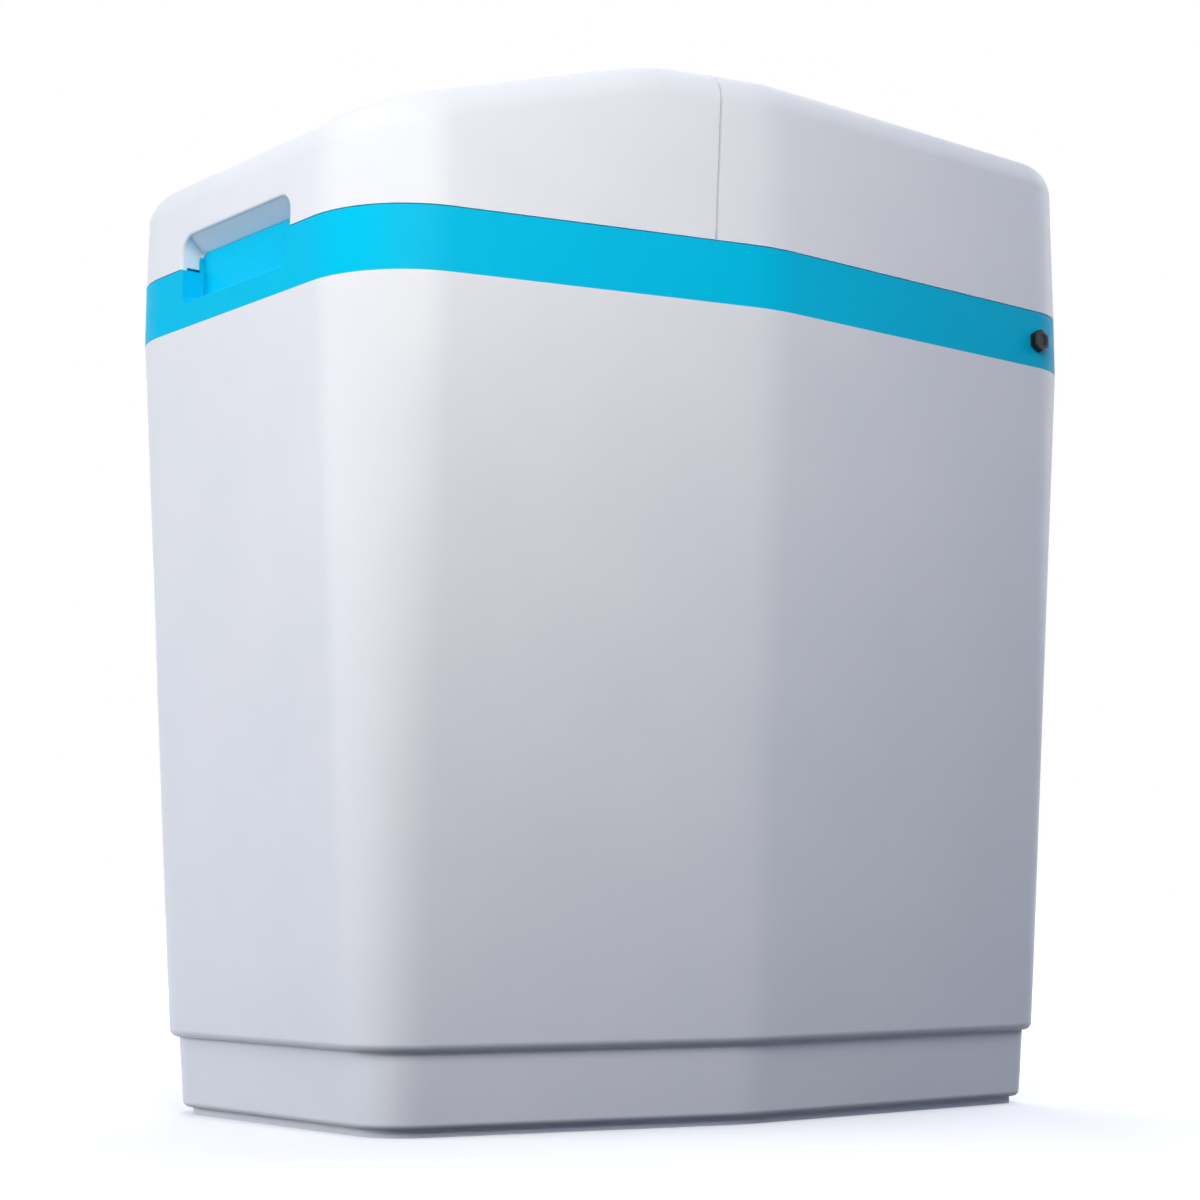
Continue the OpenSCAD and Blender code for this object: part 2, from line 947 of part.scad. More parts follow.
module resin_vessel() {
  color(grey)
    at_vessel()
      rotate_extrude()
        polygon(concat(
          dome(vessel_r, dome_h, dome_low, -90, 0),
          dome(vessel_r, dome_h, dome_high, 0, neck_angle),
          [[neck_r, neck_top], [neck_bore, neck_top]],
          dome(inner_r, inner_dome_h, dome_high, bore_angle, 0),
          dome(inner_r, inner_dome_h, dome_low, 0, -90)));
}

module vessel_boot() {
  outer = vessel_r + boot_wall;
  fit = vessel_r + pass_fit;
  foot = vessel_r / 2;
  foot_angle = -acos(foot / fit);
  color(black)
    at_vessel()
      rotate_extrude()
        polygon(concat(
          [[foot, floor_z], [outer, floor_z], [outer, floor_z + boot_h], [fit, floor_z + boot_h]],
          dome(fit, dome_h, dome_low, 0, foot_angle)));
}

module resin_bed() {
  height = (dome_high - dome_low) * bed_share;
  color("#B5752E")
    at_vessel()
      translate([0, 0, dome_low])
        difference() {
          cylinder(r = inner_r - pass_fit, h = height);
          translate([0, 0, -eps])
            cylinder(r = riser_r + pass_fit, h = height + 2 * eps);
        }
}

module riser_tube() {
  low = riser_z + basket_wall;
  height = valve_z + flange_h + riser_grip - low;
  color(white)
    at_vessel()
      translate([0, 0, low])
        difference() {
          cylinder(r = riser_r, h = height);
          translate([0, 0, -eps])
            cylinder(r = riser_r - riser_wall, h = height + 2 * eps);
        }
}

// Upright slots cut through a round wall
module wall_slots(count, r, w, low, high) {
  for (i = [0:count - 1])
    rotate([0, 0, 360 * i / count])
      translate([0, -w / 2, low])
        cube([r, w, high - low]);
}

module lower_basket() {
  color(black)
    at_vessel()
      translate([0, 0, riser_z])
        difference() {
          union() {
            cylinder(r = basket_r, h = basket_wall);
            difference() {
              cylinder(r = basket_r, h = basket_h);
              translate([0, 0, -eps])
                cylinder(r = basket_r - basket_wall, h = basket_h - basket_wall + eps);
              wall_slots(slot_count, vessel_r, slot_w, basket_wall * 2, basket_h - basket_wall * 2);
            }
            translate([0, 0, basket_h - basket_grip])
              cylinder(r = riser_r + basket_wall, h = basket_grip);
          }
          translate([0, 0, basket_wall])
            cylinder(r = riser_r + run_fit, h = basket_h);
        }
}

module upper_basket() {
  color(black)
    at_vessel()
      translate([0, 0, neck_top - spigot_h - top_basket_h])
        difference() {
          cylinder(r = top_basket_r, h = top_basket_h);
          translate([0, 0, basket_wall])
            cylinder(r = top_basket_r - basket_wall, h = top_basket_h);
          translate([0, 0, -eps])
            cylinder(r = riser_r + run_fit, h = top_basket_h);
          wall_slots(slot_count, vessel_r, slot_w, basket_wall * 2, top_basket_h - basket_wall * 2);
        }
}

module neck_seal() {
  color(black)
    at_vessel()
      translate([0, 0, neck_top - spigot_h / 2])
        rotate_extrude()
          translate([spigot_r - seal_r + run_fit, 0])
            circle(r = seal_r);
}

// Control valve

module at_valve(lift) {
  translate([0, vessel_y, valve_z + lift])
    children();
}

module at_ports() {
  for (side = [-1, 1])
    translate([side * port_x, 0, port_z])
      children();
}

module valve_screw_places() {
  for (i = [0:3])
    at_valve(valve_h + cap_h)
      rotate([0, 0, 45 + 90 * i])
        translate([valve_screw_ring, 0, 0])
          children();
}

module valve_body() {
  groove = 2 * seal_r + 2 * slip_fit;
  color(black)
    difference() {
      union() {
        at_valve(-spigot_h) {
          cylinder(r = spigot_r, h = spigot_h + eps);
          translate([0, 0, spigot_h])
            cylinder(r = flange_r, h = flange_h);
          translate([0, 0, spigot_h])
            cylinder(r = valve_r, h = valve_h);
        }
        at_ports() {
          along_y(vessel_y + motor_r + motor_gap, boss_end, boss_r);
          along_y(boss_end - clip_rim_t, boss_end, boss_r + clip_rim);
        }
        translate([0, vessel_y, port_z])
          along_x(-drain_boss_end, 0, drain_boss_r);
        translate([0, 0, injector_z])
          along_y(injector_y, vessel_y, injector_r);
        translate([0, brine_port_y, injector_z])
          along_x(-brine_port_end, 0, tube_r + brine_port_wall);
      }
      at_valve(-spigot_h - eps)
        cylinder(r = riser_r + slip_fit, h = spigot_h + flange_h + riser_grip + riser_room);
      at_valve(-spigot_h / 2 - groove / 2)
        difference() {
          cylinder(r = spigot_r + eps, h = groove);
          translate([0, 0, -eps])
            cylinder(r = spigot_r - 2 * seal_r, h = groove + 2 * eps);
        }
      at_valve(valve_h - 2 * disc_t - 4 * run_fit)
        cylinder(r = disc_r + slip_fit, h = valve_h);
      at_ports()
        along_y(boss_end - pipe_grip - eps, boss_end + eps, pipe_r + run_fit);
      translate([0, vessel_y, port_z])
        along_x(-drain_boss_end - eps, -valve_r + drain_sink, drain_r - drain_step + run_fit);
      translate([0, 0, injector_z])
        along_y(injector_y - eps, brine_port_y + injector_bore, injector_bore);
      translate([0, brine_port_y, injector_z])
        along_x(-brine_port_end - eps, -injector_bore, tube_r + run_fit);
      valve_screw_places()
        translate([0, 0, -cap_h - valve_screw_l - valve_screw_room])
          cylinder(r = screw_r + run_fit, h = valve_screw_l + valve_screw_room + eps);
    }
}

module disc_holes(count, from) {
  for (i = [0:count - 1])
    rotate([0, 0, from + 360 * i / 6])
      translate([disc_hole_ring, 0, -eps])
        cylinder(r = disc_hole_r, h = disc_t + 2 * eps);
}

module fixed_disc() {
  color(white)
    at_valve(valve_h - 2 * disc_t - 4 * run_fit)
      difference() {
        cylinder(r = disc_r, h = disc_t);
        disc_holes(6, 0);
      }
}

module moving_disc() {
  color(white)
    at_valve(valve_h - disc_t - 2 * run_fit)
      difference() {
        cylinder(r = disc_r, h = disc_t);
        disc_holes(3, 30);
        translate([0, 0, disc_t / 2])
          cylinder(r = shaft_seat_r + run_fit, h = disc_t);
      }
}

module valve_cap() {
  color(black)
    difference() {
      at_valve(valve_h) {
        cylinder(r = cap_r, h = cap_h);
        translate([0, -arm_w / 2, cap_h / 3])
          cube([gear_distance, arm_w, cap_h * 2 / 3]);
        translate([gear_distance, 0, cap_h / 3])
          cylinder(r = motor_r + motor_rim, h = cap_h * 2 / 3);
      }
      at_valve(valve_h - eps)
        cylinder(r = shaft_r + run_fit, h = cap_h + 2 * eps);
      at_valve(valve_h - eps)
        translate([gear_distance, 0, 0])
          cylinder(r = motor_boss_r + slip_fit, h = cap_h + 2 * eps);
      valve_screw_places()
        translate([0, 0, -cap_h - eps])
          cylinder(r = screw_hole_r, h = cap_h + 2 * eps);
    }
}

module valve_screws() {
  color(steel)
    valve_screw_places()
      screw(cap_h + valve_screw_l);
}

module valve_shaft() {
  color(grey)
    at_valve(valve_h - disc_t / 2 - run_fit) {
      cylinder(r = shaft_seat_r, h = disc_t);
      translate([0, 0, disc_t / 2])
        cylinder(r = shaft_r, h = cap_h + gear_lift + gear_h + shaft_over);
    }
}

function roll_angle(r, base) = sqrt(max(r * r / (base * base) - 1, 0)) * 180 / PI;

function flank(r, base, half_base) =
  let (roll = roll_angle(r, base))
  half_base - roll + atan(roll * PI / 180);

function gear_points(teeth) =
  let (pitch = gear_module * teeth / 2)
  let (base = pitch * cos(pressure_angle))
  let (tip = pitch + addendum * gear_module)
  let (root = pitch - dedendum * gear_module)
  let (involute = tan(pressure_angle) * 180 / PI - pressure_angle)
  let (half_base = 90 / teeth + involute - gear_backlash / pitch * 45 / PI)
  let (start = max(base, root))
  let (radii = [for (i = [0:4]) start + (tip - start) * i / 4])
  let (up = concat([[root, -half_base]], [for (r = radii) [r, -flank(r, base, half_base)]]))
  let (down = [for (i = [len(up) - 1:-1:0]) [up[i].x, -up[i].y]])
  [for (k = [0:teeth - 1]) for (p = concat(up, down))
    let (a = p.y + 360 * k / teeth) p.x * [cos(a), sin(a)]];

module drive_gear() {
  color(white)
    at_valve(valve_h + cap_h + gear_lift)
      linear_extrude(gear_h)
        difference() {
          polygon(gear_points(gear_teeth));
          circle(r = shaft_r + run_fit);
          for (i = [0:gear_holes - 1])
            rotate((i + 0.5) * 360 / gear_holes)
              translate([gear_hole_ring, 0])
                circle(r = gear_hole_r);
        }
}

module motor_pinion() {
  color(steel)
    at_valve(valve_h + cap_h + gear_lift)
      translate([gear_distance, 0, 0]) {
        linear_extrude(gear_h)
          rotate(180 / pinion_teeth)
            polygon(gear_points(pinion_teeth));
        translate([0, 0, -gear_lift - cap_h / 2])
          cylinder(r = spindle_r, h = gear_lift + cap_h / 2 + eps);
      }
}

module drive_motor() {
  color(steel)
    at_valve(valve_h + cap_h / 3 - motor_h)
      translate([gear_distance, 0, 0])
        difference() {
          union() {
            cylinder(r = motor_r, h = motor_h);
            cylinder(r = motor_boss_r, h = motor_h + cap_h * 2 / 3);
          }
          translate([0, 0, motor_h - cap_h])
            cylinder(r = spindle_r + run_fit, h = 2 * cap_h);
        }
}

module pipe(x) {
  translate([x, 0, port_z])
    difference() {
      union() {
        along_y(boss_end - pipe_grip, thread_start, pipe_r);
        along_y(boss_end, boss_end + clip_rim_t, boss_r + clip_rim);
        along_y(thread_start - collar_l, thread_start, collar_r);
        along_y(thread_start, thread_end, port_d / 2);
      }
      along_y(boss_end - pipe_grip - eps, thread_end + eps, pipe_bore);
    }
}

module inlet_pipe() {
  color(black)
    pipe(port_x);
}

module outlet_pipe() {
  color(black)
    pipe(-port_x);
}

module port_clips() {
  inner = boss_r + clip_rim + slip_fit;
  lip = boss_r + slip_fit;
  wide = 2 * clip_rim_t + 2 * slip_fit;
  color(blue)
    at_ports()
      translate([0, boss_end, 0])
        rotate([-90, 90 + clip_angle / 2, 0])
          rotate_extrude(angle = clip_angle)
            difference() {
              translate([lip, -wide / 2 - clip_t])
                square([inner + clip_t - lip, wide + 2 * clip_t]);
              translate([0, -wide / 2])
                square([inner, wide]);
            }
}

module at_turbine() {
  translate([-port_x, turbine_y, port_z])
    rotate([-90, 0, 0])
      children();
}

module turbine_guide() {
  back = turbine_guide_l + turbine_guide_gap;
  wall = turbine_guide_wall;
  color(grey)
    at_turbine()
      translate([0, 0, -back]) {
        difference() {
          cylinder(r = pipe_bore - run_fit, h = turbine_guide_l);
          translate([0, 0, -eps])
            cylinder(r = pipe_bore - run_fit - wall, h = turbine_guide_l + 2 * eps);
        }
        for (i = [0:2])
          rotate([0, 0, 120 * i])
            translate([0, -wall / 2, 0])
              cube([pipe_bore - wall, wall, turbine_guide_l]);
        cylinder(r = turbine_hub_r, h = turbine_guide_l);
        cylinder(r = turbine_pin_r, h = back + turbine_l);
      }
}

module meter_turbine() {
  color(white)
    at_turbine()
      difference() {
        union() {
          cylinder(r = turbine_hub_r, h = turbine_l);
          for (i = [0:turbine_blades - 1])
            rotate([0, 0, 360 * i / turbine_blades])
              translate([0, 0, turbine_l / 2])
                rotate([blade_pitch, 0, 0])
                  translate([0, -blade_t / 2, -turbine_l / 2])
                    cube([turbine_r, blade_t, turbine_l]);
        }
        translate([0, 0, -eps])
          cylinder(r = turbine_pin_r + run_fit, h = turbine_l + 2 * eps);
      }
}

module drain_elbow() {
  inner_x = -valve_r;
  color(black)
    difference() {
      union() {
        translate([0, vessel_y, port_z]) {
          along_x(drain_x, inner_x, drain_r - drain_step);
          along_x(drain_x, -drain_boss_end, drain_r + drain_collar);
        }
        translate([drain_x, vessel_y, port_z])
          sphere(r = drain_r + drain_collar);
        translate([drain_x, 0, port_z]) {
          along_y(vessel_y, y_rear + drain_collar_out, drain_r + drain_collar);
          along_y(vessel_y, thread_end - drain_back, drain_r);
        }
      }
      translate([0, vessel_y, port_z])
        along_x(drain_x, inner_x + eps, drain_bore);
      translate([drain_x, 0, port_z])
        along_y(vessel_y, thread_end, drain_bore);
    }
}

module injector_cap() {
  color(blue)
    translate([0, 0, injector_z]) {
      along_y(injector_y - injector_cap_t, injector_y, injector_cap_r);
      along_y(injector_y - eps, brine_port_y - tube_r - injector_gap, injector_bore - run_fit);
    }
}

// Power inlet in the back of the cover

module power_inlet() {
  color(black)
    translate([inlet_x, y_rear + run_fit, inlet_z])
      difference() {
        union() {
          along_y(0, inlet_flange_t, inlet_flange_r);
          along_y(inlet_flange_t - inlet_l, 0, inlet_r);
        }
        difference() {
          along_y(inlet_flange_t - inlet_bore_l, inlet_flange_t + eps, inlet_bore_r);
          along_y(-inlet_l, inlet_flange_t - inlet_pin_back, inlet_pin_r);
        }
      }
}

module power_nut() {
  color(steel)
    translate([inlet_x, y_rear - lid_wall - lid_draft, inlet_z])
      difference() {
        rotate([90, 0, 0])
          cylinder(r = inlet_nut_af / 2 / cos(30), h = inlet_nut_t, $fn = 6);
        along_y(-inlet_nut_t - eps, eps, inlet_r + run_fit);
      }
}

// Control panel, in a frame on its sloping face: X across, Y up the face, Z out of it

module on_panel() {
  translate([panel_x, panel_y, deck_top])
    rotate([90 - panel_tilt, 0, 0])
      children();
}

module panel_tab_places() {
  for (side = [-1, 1])
    translate([panel_x + side * panel_tab_x, panel_y + panel_depth - panel_tab_l / 2, deck_top])
      children();
}

module button_places() {
  for (i = [0:3])
    translate([(i - 1.5) * button_pitch, button_v, 0])
      children();
}

module board_posts() {
  for (x = [-board_post_x, board_post_x])
    for (y = [board_post_low, board_post_high])
      translate([x, y, 0])
        children();
}

module panel_housing() {
  slant = panel_t / cos(panel_tilt);
  lean = panel_t * tan(panel_tilt);
  back = panel_y + panel_depth;
  color(grey)
    difference() {
      union() {
        difference() {
          translate([panel_x - panel_w / 2, 0, 0])
            rotate([90, 0, 90])
              linear_extrude(panel_w)
                polygon([
                  [panel_y, deck_top], [panel_top_y, panel_top_z],
                  [back, panel_top_z], [back, deck_top]]);
          translate([panel_x + panel_t - panel_w / 2, 0, 0])
            rotate([90, 0, 90])
              linear_extrude(panel_w - 2 * panel_t)
                polygon([
                  [panel_y + slant - eps * tan(panel_tilt), deck_top - eps],
                  [panel_top_y + slant - lean, panel_top_z - panel_t],
                  [back + eps, panel_top_z - panel_t], [back + eps, deck_top - eps]]);
        }
        for (side = [0, 1])
          translate([panel_x, 0, 0])
            mirror([side, 0, 0])
              translate([panel_tab_x - panel_tab_w / 2, back - panel_tab_l, deck_top])
                cube([(panel_w - panel_t + panel_tab_w) / 2 - panel_tab_x, panel_tab_l, panel_tab_t]);
        on_panel()
          board_posts()
            translate([0, 0, board_z + board_t])
              cylinder(r = board_post_r, h = -board_z - board_t - panel_t / 2);
      }
      on_panel() {
        translate([-window_w / 2 - window_fit, window_v - window_h / 2 - window_fit, -2 * panel_t])
          cube([window_w + 2 * window_fit, window_h + 2 * window_fit, 3 * panel_t]);
        button_places()
          translate([0, 0, -2 * panel_t])
            cylinder(r = button_r + slip_fit, h = 3 * panel_t);
        board_posts()
          translate([0, 0, board_z])
            cylinder(r = screw_r + run_fit, h = -board_z - panel_t);
      }
      panel_tab_places()
        translate([0, 0, -eps])
          cylinder(r = screw_hole_r, h = panel_tab_t + 2 * eps);
    }
}

module panel_screws() {
  color(steel)
    panel_tab_places()
      translate([0, 0, panel_tab_t])
        screw(panel_tab_t + deck_t);
}

module display_window() {
  color("#20303A")
    on_panel()
      translate([-window_w / 2, window_v - window_h / 2, -panel_t])
        cube([window_w, window_h, panel_t]);
}

module display_module() {
  color(steel)
    on_panel()
      translate([-window_w / 2 - module_rim, window_v - window_h / 2 - module_rim, board_z + board_t])
        cube([window_w + 2 * module_rim, window_h + 2 * module_rim,
          -board_z - board_t - panel_t - button_gap]);
}

module circuit_board() {
  color("#1F6B45")
    on_panel()
      difference() {
        union() {
          translate([-board_w / 2, board_low, board_z])
            cube([board_w, board_high - board_low, board_t]);
          button_places()
            translate([-switch_w / 2, -switch_w / 2, board_z + board_t - eps])
              cube([switch_w, switch_w, switch_h + eps]);
        }
        board_posts()
          translate([0, 0, board_z - eps])
            cylinder(r = screw_hole_r, h = board_t + 2 * eps);
      }
}

module board_screws() {
  color(steel)
    on_panel()
      board_posts()
        translate([0, 0, board_z])
          rotate([180, 0, 0])
            screw(board_t + board_screw_l);
}

module button(i) {
  color(black)
    on_panel()
      translate([(i - 1.5) * button_pitch, button_v, 0]) {
        translate([0, 0, -panel_t - button_gap - button_flange_t / 2])
          cylinder(r = button_r, h = panel_t + button_gap + button_flange_t / 2 + button_proud);
        translate([0, 0, -panel_t - button_gap - button_flange_t])
          cylinder(r = button_r + button_flange, h = button_flange_t);
      }
}

module button_menu() {
  button(0);
}

module button_down() {
  button(1);
}

module button_up() {
  button(2);
}

module button_set() {
  button(3);
}

// Brine side

module at_well() {
  translate([well_x, well_y, 0])
    children();
}

// The tube leaves the valve to the left, turns to the front and drops into the well
module brine_tube() {
  from_y = brine_port_y;
  start_x = -brine_port_end + tube_grip;
  low = guide_z + brine_valve_h - brine_socket;
  color("#E8EAEC")
    union() {
      translate([0, from_y, injector_z])
        along_x(well_x + tube_bend, start_x, tube_r);
      translate([well_x + tube_bend, from_y - tube_bend, injector_z])
        rotate([0, 0, 90])
          rotate_extrude(angle = 90)
            translate([tube_bend, 0])
              circle(r = tube_r);
      translate([well_x, 0, injector_z])
        along_y(well_y + tube_bend, from_y - tube_bend, tube_r);
      translate([well_x, well_y + tube_bend, injector_z - tube_bend])
        rotate([0, -90, 0])
          rotate([0, 0, -90])
            rotate_extrude(angle = 90)
              translate([tube_bend, 0])
                circle(r = tube_r);
      translate([well_x, well_y, low])
        cylinder(r = tube_r, h = injector_z - tube_bend - low);
    }
}

module brine_nut() {
  color(black)
    translate([-brine_port_end - brine_nut_l - run_fit, brine_port_y, injector_z])
      difference() {
        hexagon_x(brine_nut_af, brine_nut_l);
        along_x(-eps, brine_nut_l + eps, tube_r + run_fit);
      }
}

module brine_well() {
  color(grey)
    at_well()
      translate([0, 0, floor_z])
        difference() {
          cylinder(r = well_r, h = well_top - floor_z);
          translate([0, 0, -eps])
            cylinder(r = well_r - well_wall, h = well_top - floor_z + 2 * eps);
          wall_slots(well_slots, well_d, well_slot_w, floor_t, floor_t + well_slot_h);
        }
}

module well_cap() {
  color(black)
    at_well()
      translate([0, 0, well_top - cap_skirt])
        difference() {
          cylinder(r = well_r + cap_rim, h = cap_skirt + cap_t);
          translate([0, 0, -eps])
            cylinder(r = well_r + slip_fit, h = cap_skirt + eps);
          translate([0, 0, -eps])
            cylinder(r = tube_r + slip_fit, h = cap_skirt + cap_t + 2 * eps);
        }
}

module brine_valve() {
  reach = well_r - well_wall - slip_fit;
  color(black)
    at_well()
      translate([0, 0, guide_z])
        difference() {
          union() {
            cylinder(r = brine_valve_r, h = brine_valve_h);
            intersection() {
              translate([-reach, -guide_w / 2, 0])
                cube([2 * reach, guide_w, guide_t]);
              cylinder(r = reach, h = guide_t);
            }
          }
          translate([0, 0, brine_valve_h - brine_socket])
            cylinder(r = tube_r + run_fit, h = brine_socket + eps);
          translate([0, 0, -eps])
            cylinder(r = check_r + run_fit, h = guide_t + eps);
          translate([float_x, 0, -eps])
            cylinder(r = rod_r + run_fit, h = brine_valve_h);
        }
}

module air_check() {
  low = floor_z + check_gap;
  color(white)
    at_well()
      translate([0, 0, low])
        difference() {
          union() {
            cylinder(r = check_r, h = guide_z + guide_t - run_fit - low);
            cylinder(r = check_cage_r, h = check_cage_h);
          }
          translate([0, 0, check_cage_h])
            cylinder(r = check_r - check_wall, h = guide_z);
          translate([0, 0, check_wall])
            cylinder(r = check_cage_r - check_wall, h = check_cage_h - 2 * check_wall);
          translate([0, 0, check_cage_h - 2 * check_wall])
            cylinder(r = check_r - check_wall, h = 3 * check_wall);
          wall_slots(check_slots, well_r, check_slot_w, 2 * check_wall, check_cage_h - 2 * check_wall);
        }
}

module at_rod(z) {
  at_well()
    translate([float_x, 0, z])
      children();
}

module float_rod() {
  low_stop = guide_z - float_travel - run_fit - rod_stop_t;
  color(steel)
    union() {
      at_rod(float_z - rod_low)
        cylinder(r = rod_r, h = guide_z + guide_t + rod_high - float_z + rod_low);
      at_rod(guide_z + guide_t + run_fit)
        cylinder(r = rod_stop_r, h = rod_stop_t);
      at_rod(low_stop)
        cylinder(r = rod_stop_r, h = rod_stop_t);
      at_rod(float_z - rod_stop_t - run_fit)
        cylinder(r = rod_stop_r, h = rod_stop_t);
    }
}

module brine_float() {
  color(white)
    at_rod(float_z)
      difference() {
        cylinder(r = float_r, h = float_l);
        translate([0, 0, -eps])
          cylinder(r = rod_r + run_fit, h = float_l + 2 * eps);
      }
}

module grid_leg_places() {
  right_x = plan_half_width(grid_rear - grid_pitch, floor_inset) - 2 * leg_r;
  front_x = half_front / 2;
  front_y = y_front + floor_inset + 3 * leg_r;
  rear_y = grid_rear - grid_pitch;
  for (p = [[-front_x, front_y], [front_x, front_y], [right_x, rear_y], [0, rear_y]])
    translate([p.x, p.y, floor_z])
      children();
}

module salt_grid() {
  inset = wall_inset(grid_z - grid_t) + cabinet_wall + grid_gap;
  columns = floor(half_rear / grid_pitch);
  rows = floor(body_d / grid_pitch / 2);
  color(white)
    difference() {
      union() {
        translate([0, 0, grid_z - grid_t])
          linear_extrude(grid_t)
            intersection() {
              polygon(plan(inset));
              translate([-body_w, y_front])
                square([2 * body_w, grid_rear - y_front]);
            }
        grid_leg_places()
          cylinder(r = leg_r, h = grid_h - grid_t / 2);
      }
      at_well()
        cylinder(r = well_r + pass_fit, h = cabinet_h);
      for (i = [-columns:columns])
        for (j = [1:rows])
          let (x = i * grid_pitch + grid_pitch / 2)
          let (y = grid_rear - j * grid_pitch + grid_pitch / 4)
          if (abs(x) < plan_half_width(y, inset + grid_edge) && y > y_front + inset + grid_edge)
            if (norm([x - well_x, y - well_y]) > well_r + grid_edge)
              translate([x, y, grid_z - grid_t - eps])
                cylinder(r = grid_hole_r, h = grid_t + 2 * eps);
    }
}

cabinet();
collar();
front_lid();
rear_cover();
hinge_pins();
overflow_plug();
overflow_seal();
overflow_nut();
deck();
deck_screws();
cover_screws();
resin_vessel();
vessel_boot();
resin_bed();
riser_tube();
lower_basket();
upper_basket();
neck_seal();
valve_body();
fixed_disc();
moving_disc();
valve_cap();
valve_screws();
valve_shaft();
drive_gear();
drive_motor();
motor_pinion();
inlet_pipe();
outlet_pipe();
port_clips();
turbine_guide();
meter_turbine();
drain_elbow();
injector_cap();
power_inlet();
power_nut();
panel_housing();
panel_screws();
display_window();
display_module();
circuit_board();
board_screws();
button_menu();
button_down();
button_up();
button_set();
brine_tube();
brine_nut();
brine_well();
well_cap();
brine_valve();
air_check();
float_rod();
brine_float();
salt_grid();
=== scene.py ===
"""A cabinet water softener: the looks of the part, on top of its CAD frame."""

import json
import logging
import math
from abc import ABC, abstractmethod
from collections.abc import Iterable, Sequence
from dataclasses import dataclass, field
from enum import Enum

import bmesh
import bpy
from bmesh.types import BMEdge, BMesh, BMVert
from bpy.types import Material, Node, NodeSocket, NodeTree, Object
from mathutils import Matrix, Vector


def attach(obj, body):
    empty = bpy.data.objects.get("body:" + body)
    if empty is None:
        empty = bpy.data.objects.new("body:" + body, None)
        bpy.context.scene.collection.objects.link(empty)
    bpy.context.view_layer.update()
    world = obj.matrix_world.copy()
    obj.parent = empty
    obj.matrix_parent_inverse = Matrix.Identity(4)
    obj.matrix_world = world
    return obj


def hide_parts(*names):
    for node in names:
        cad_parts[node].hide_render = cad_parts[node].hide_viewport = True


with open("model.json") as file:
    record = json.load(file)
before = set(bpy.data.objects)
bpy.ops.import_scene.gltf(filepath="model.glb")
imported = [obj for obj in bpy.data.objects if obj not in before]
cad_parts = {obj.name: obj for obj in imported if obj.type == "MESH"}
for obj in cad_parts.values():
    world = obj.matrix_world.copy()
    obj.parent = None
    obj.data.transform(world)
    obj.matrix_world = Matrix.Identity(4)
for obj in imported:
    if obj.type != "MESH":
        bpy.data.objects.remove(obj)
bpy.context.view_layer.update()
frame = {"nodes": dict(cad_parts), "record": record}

logging.basicConfig(level=logging.INFO, format="%(name)s: %(message)s")
log = logging.getLogger("softener")

# measures that go together: two ends or a place in a plane, and a place in space
Pair = tuple[float, float]
Triple = tuple[float, float, float]

MM = 0.001
QUARTER = math.pi / 2
X, Y, Z = Vector((1, 0, 0)), Vector((0, 1, 0)), Vector((0, 0, 1))
# points closer than this are one, mm: in a finished piece, and in a lathed or cut one
MERGE, FINE = 1e-3, 1e-4
# sockets of the Mix node when it mixes colours
MIX_FACTOR, MIX_A, MIX_B, MIX_RESULT = 0, 6, 7, 2
# the range that a noise value hardly leaves
NOISE_LOW, NOISE_HIGH = 0.3, 0.7
WHITE = "FFFFFF"


class Combine(Enum):
    """How one closed mesh is joined to another."""

    ADD = "UNION"
    CUT = "DIFFERENCE"


class Axis(Enum):
    """The turn that lays a lathed or extruded bar, made along Z, on another axis."""

    X = Matrix.Rotation(QUARTER, 4, "Y")
    Y = Matrix.Rotation(-QUARTER, 4, "X")
    Z = Matrix.Identity(4)


# Finishes


def linear(code: str) -> tuple[float, float, float, float]:
    """Turns an sRGB hex colour into linear light, by the sRGB curve.

    Args:
        code: six hex digits, with or without a leading #.

    Returns:
        Red, green, blue and alpha, 0 to 1.
    """
    digits = code.lstrip("#")
    parts = [int(digits[i:i + 2], 16) / 255 for i in (0, 2, 4)]
    light = [p / 12.92 if p <= 0.04045 else ((p + 0.055) / 1.055) ** 2.4 for p in parts]
    return (*light, 1.0)


def add_node(tree: NodeTree, kind: str, inputs: dict | None = None, **settings: object) -> Node:
    """Adds a shader node, sets it up and links it.

    Args:
        tree: the node tree that gets the node.
        kind: the node's type name.
        inputs: value or output socket for each input, by name or number.
        settings: attributes of the node itself.

    Returns:
        The new node.
    """
    node = tree.nodes.new(kind)
    for name, value in settings.items():
        setattr(node, name, value)
    for key, value in (inputs or {}).items():
        if isinstance(value, NodeSocket):
            tree.links.new(value, node.inputs[key])
        else:
            node.inputs[key].default_value = value
    return node


def per_mm(size: float) -> float:
    """Gives the texture scale that makes a pattern about `size` mm across."""
    return 1.0 / (size * MM)


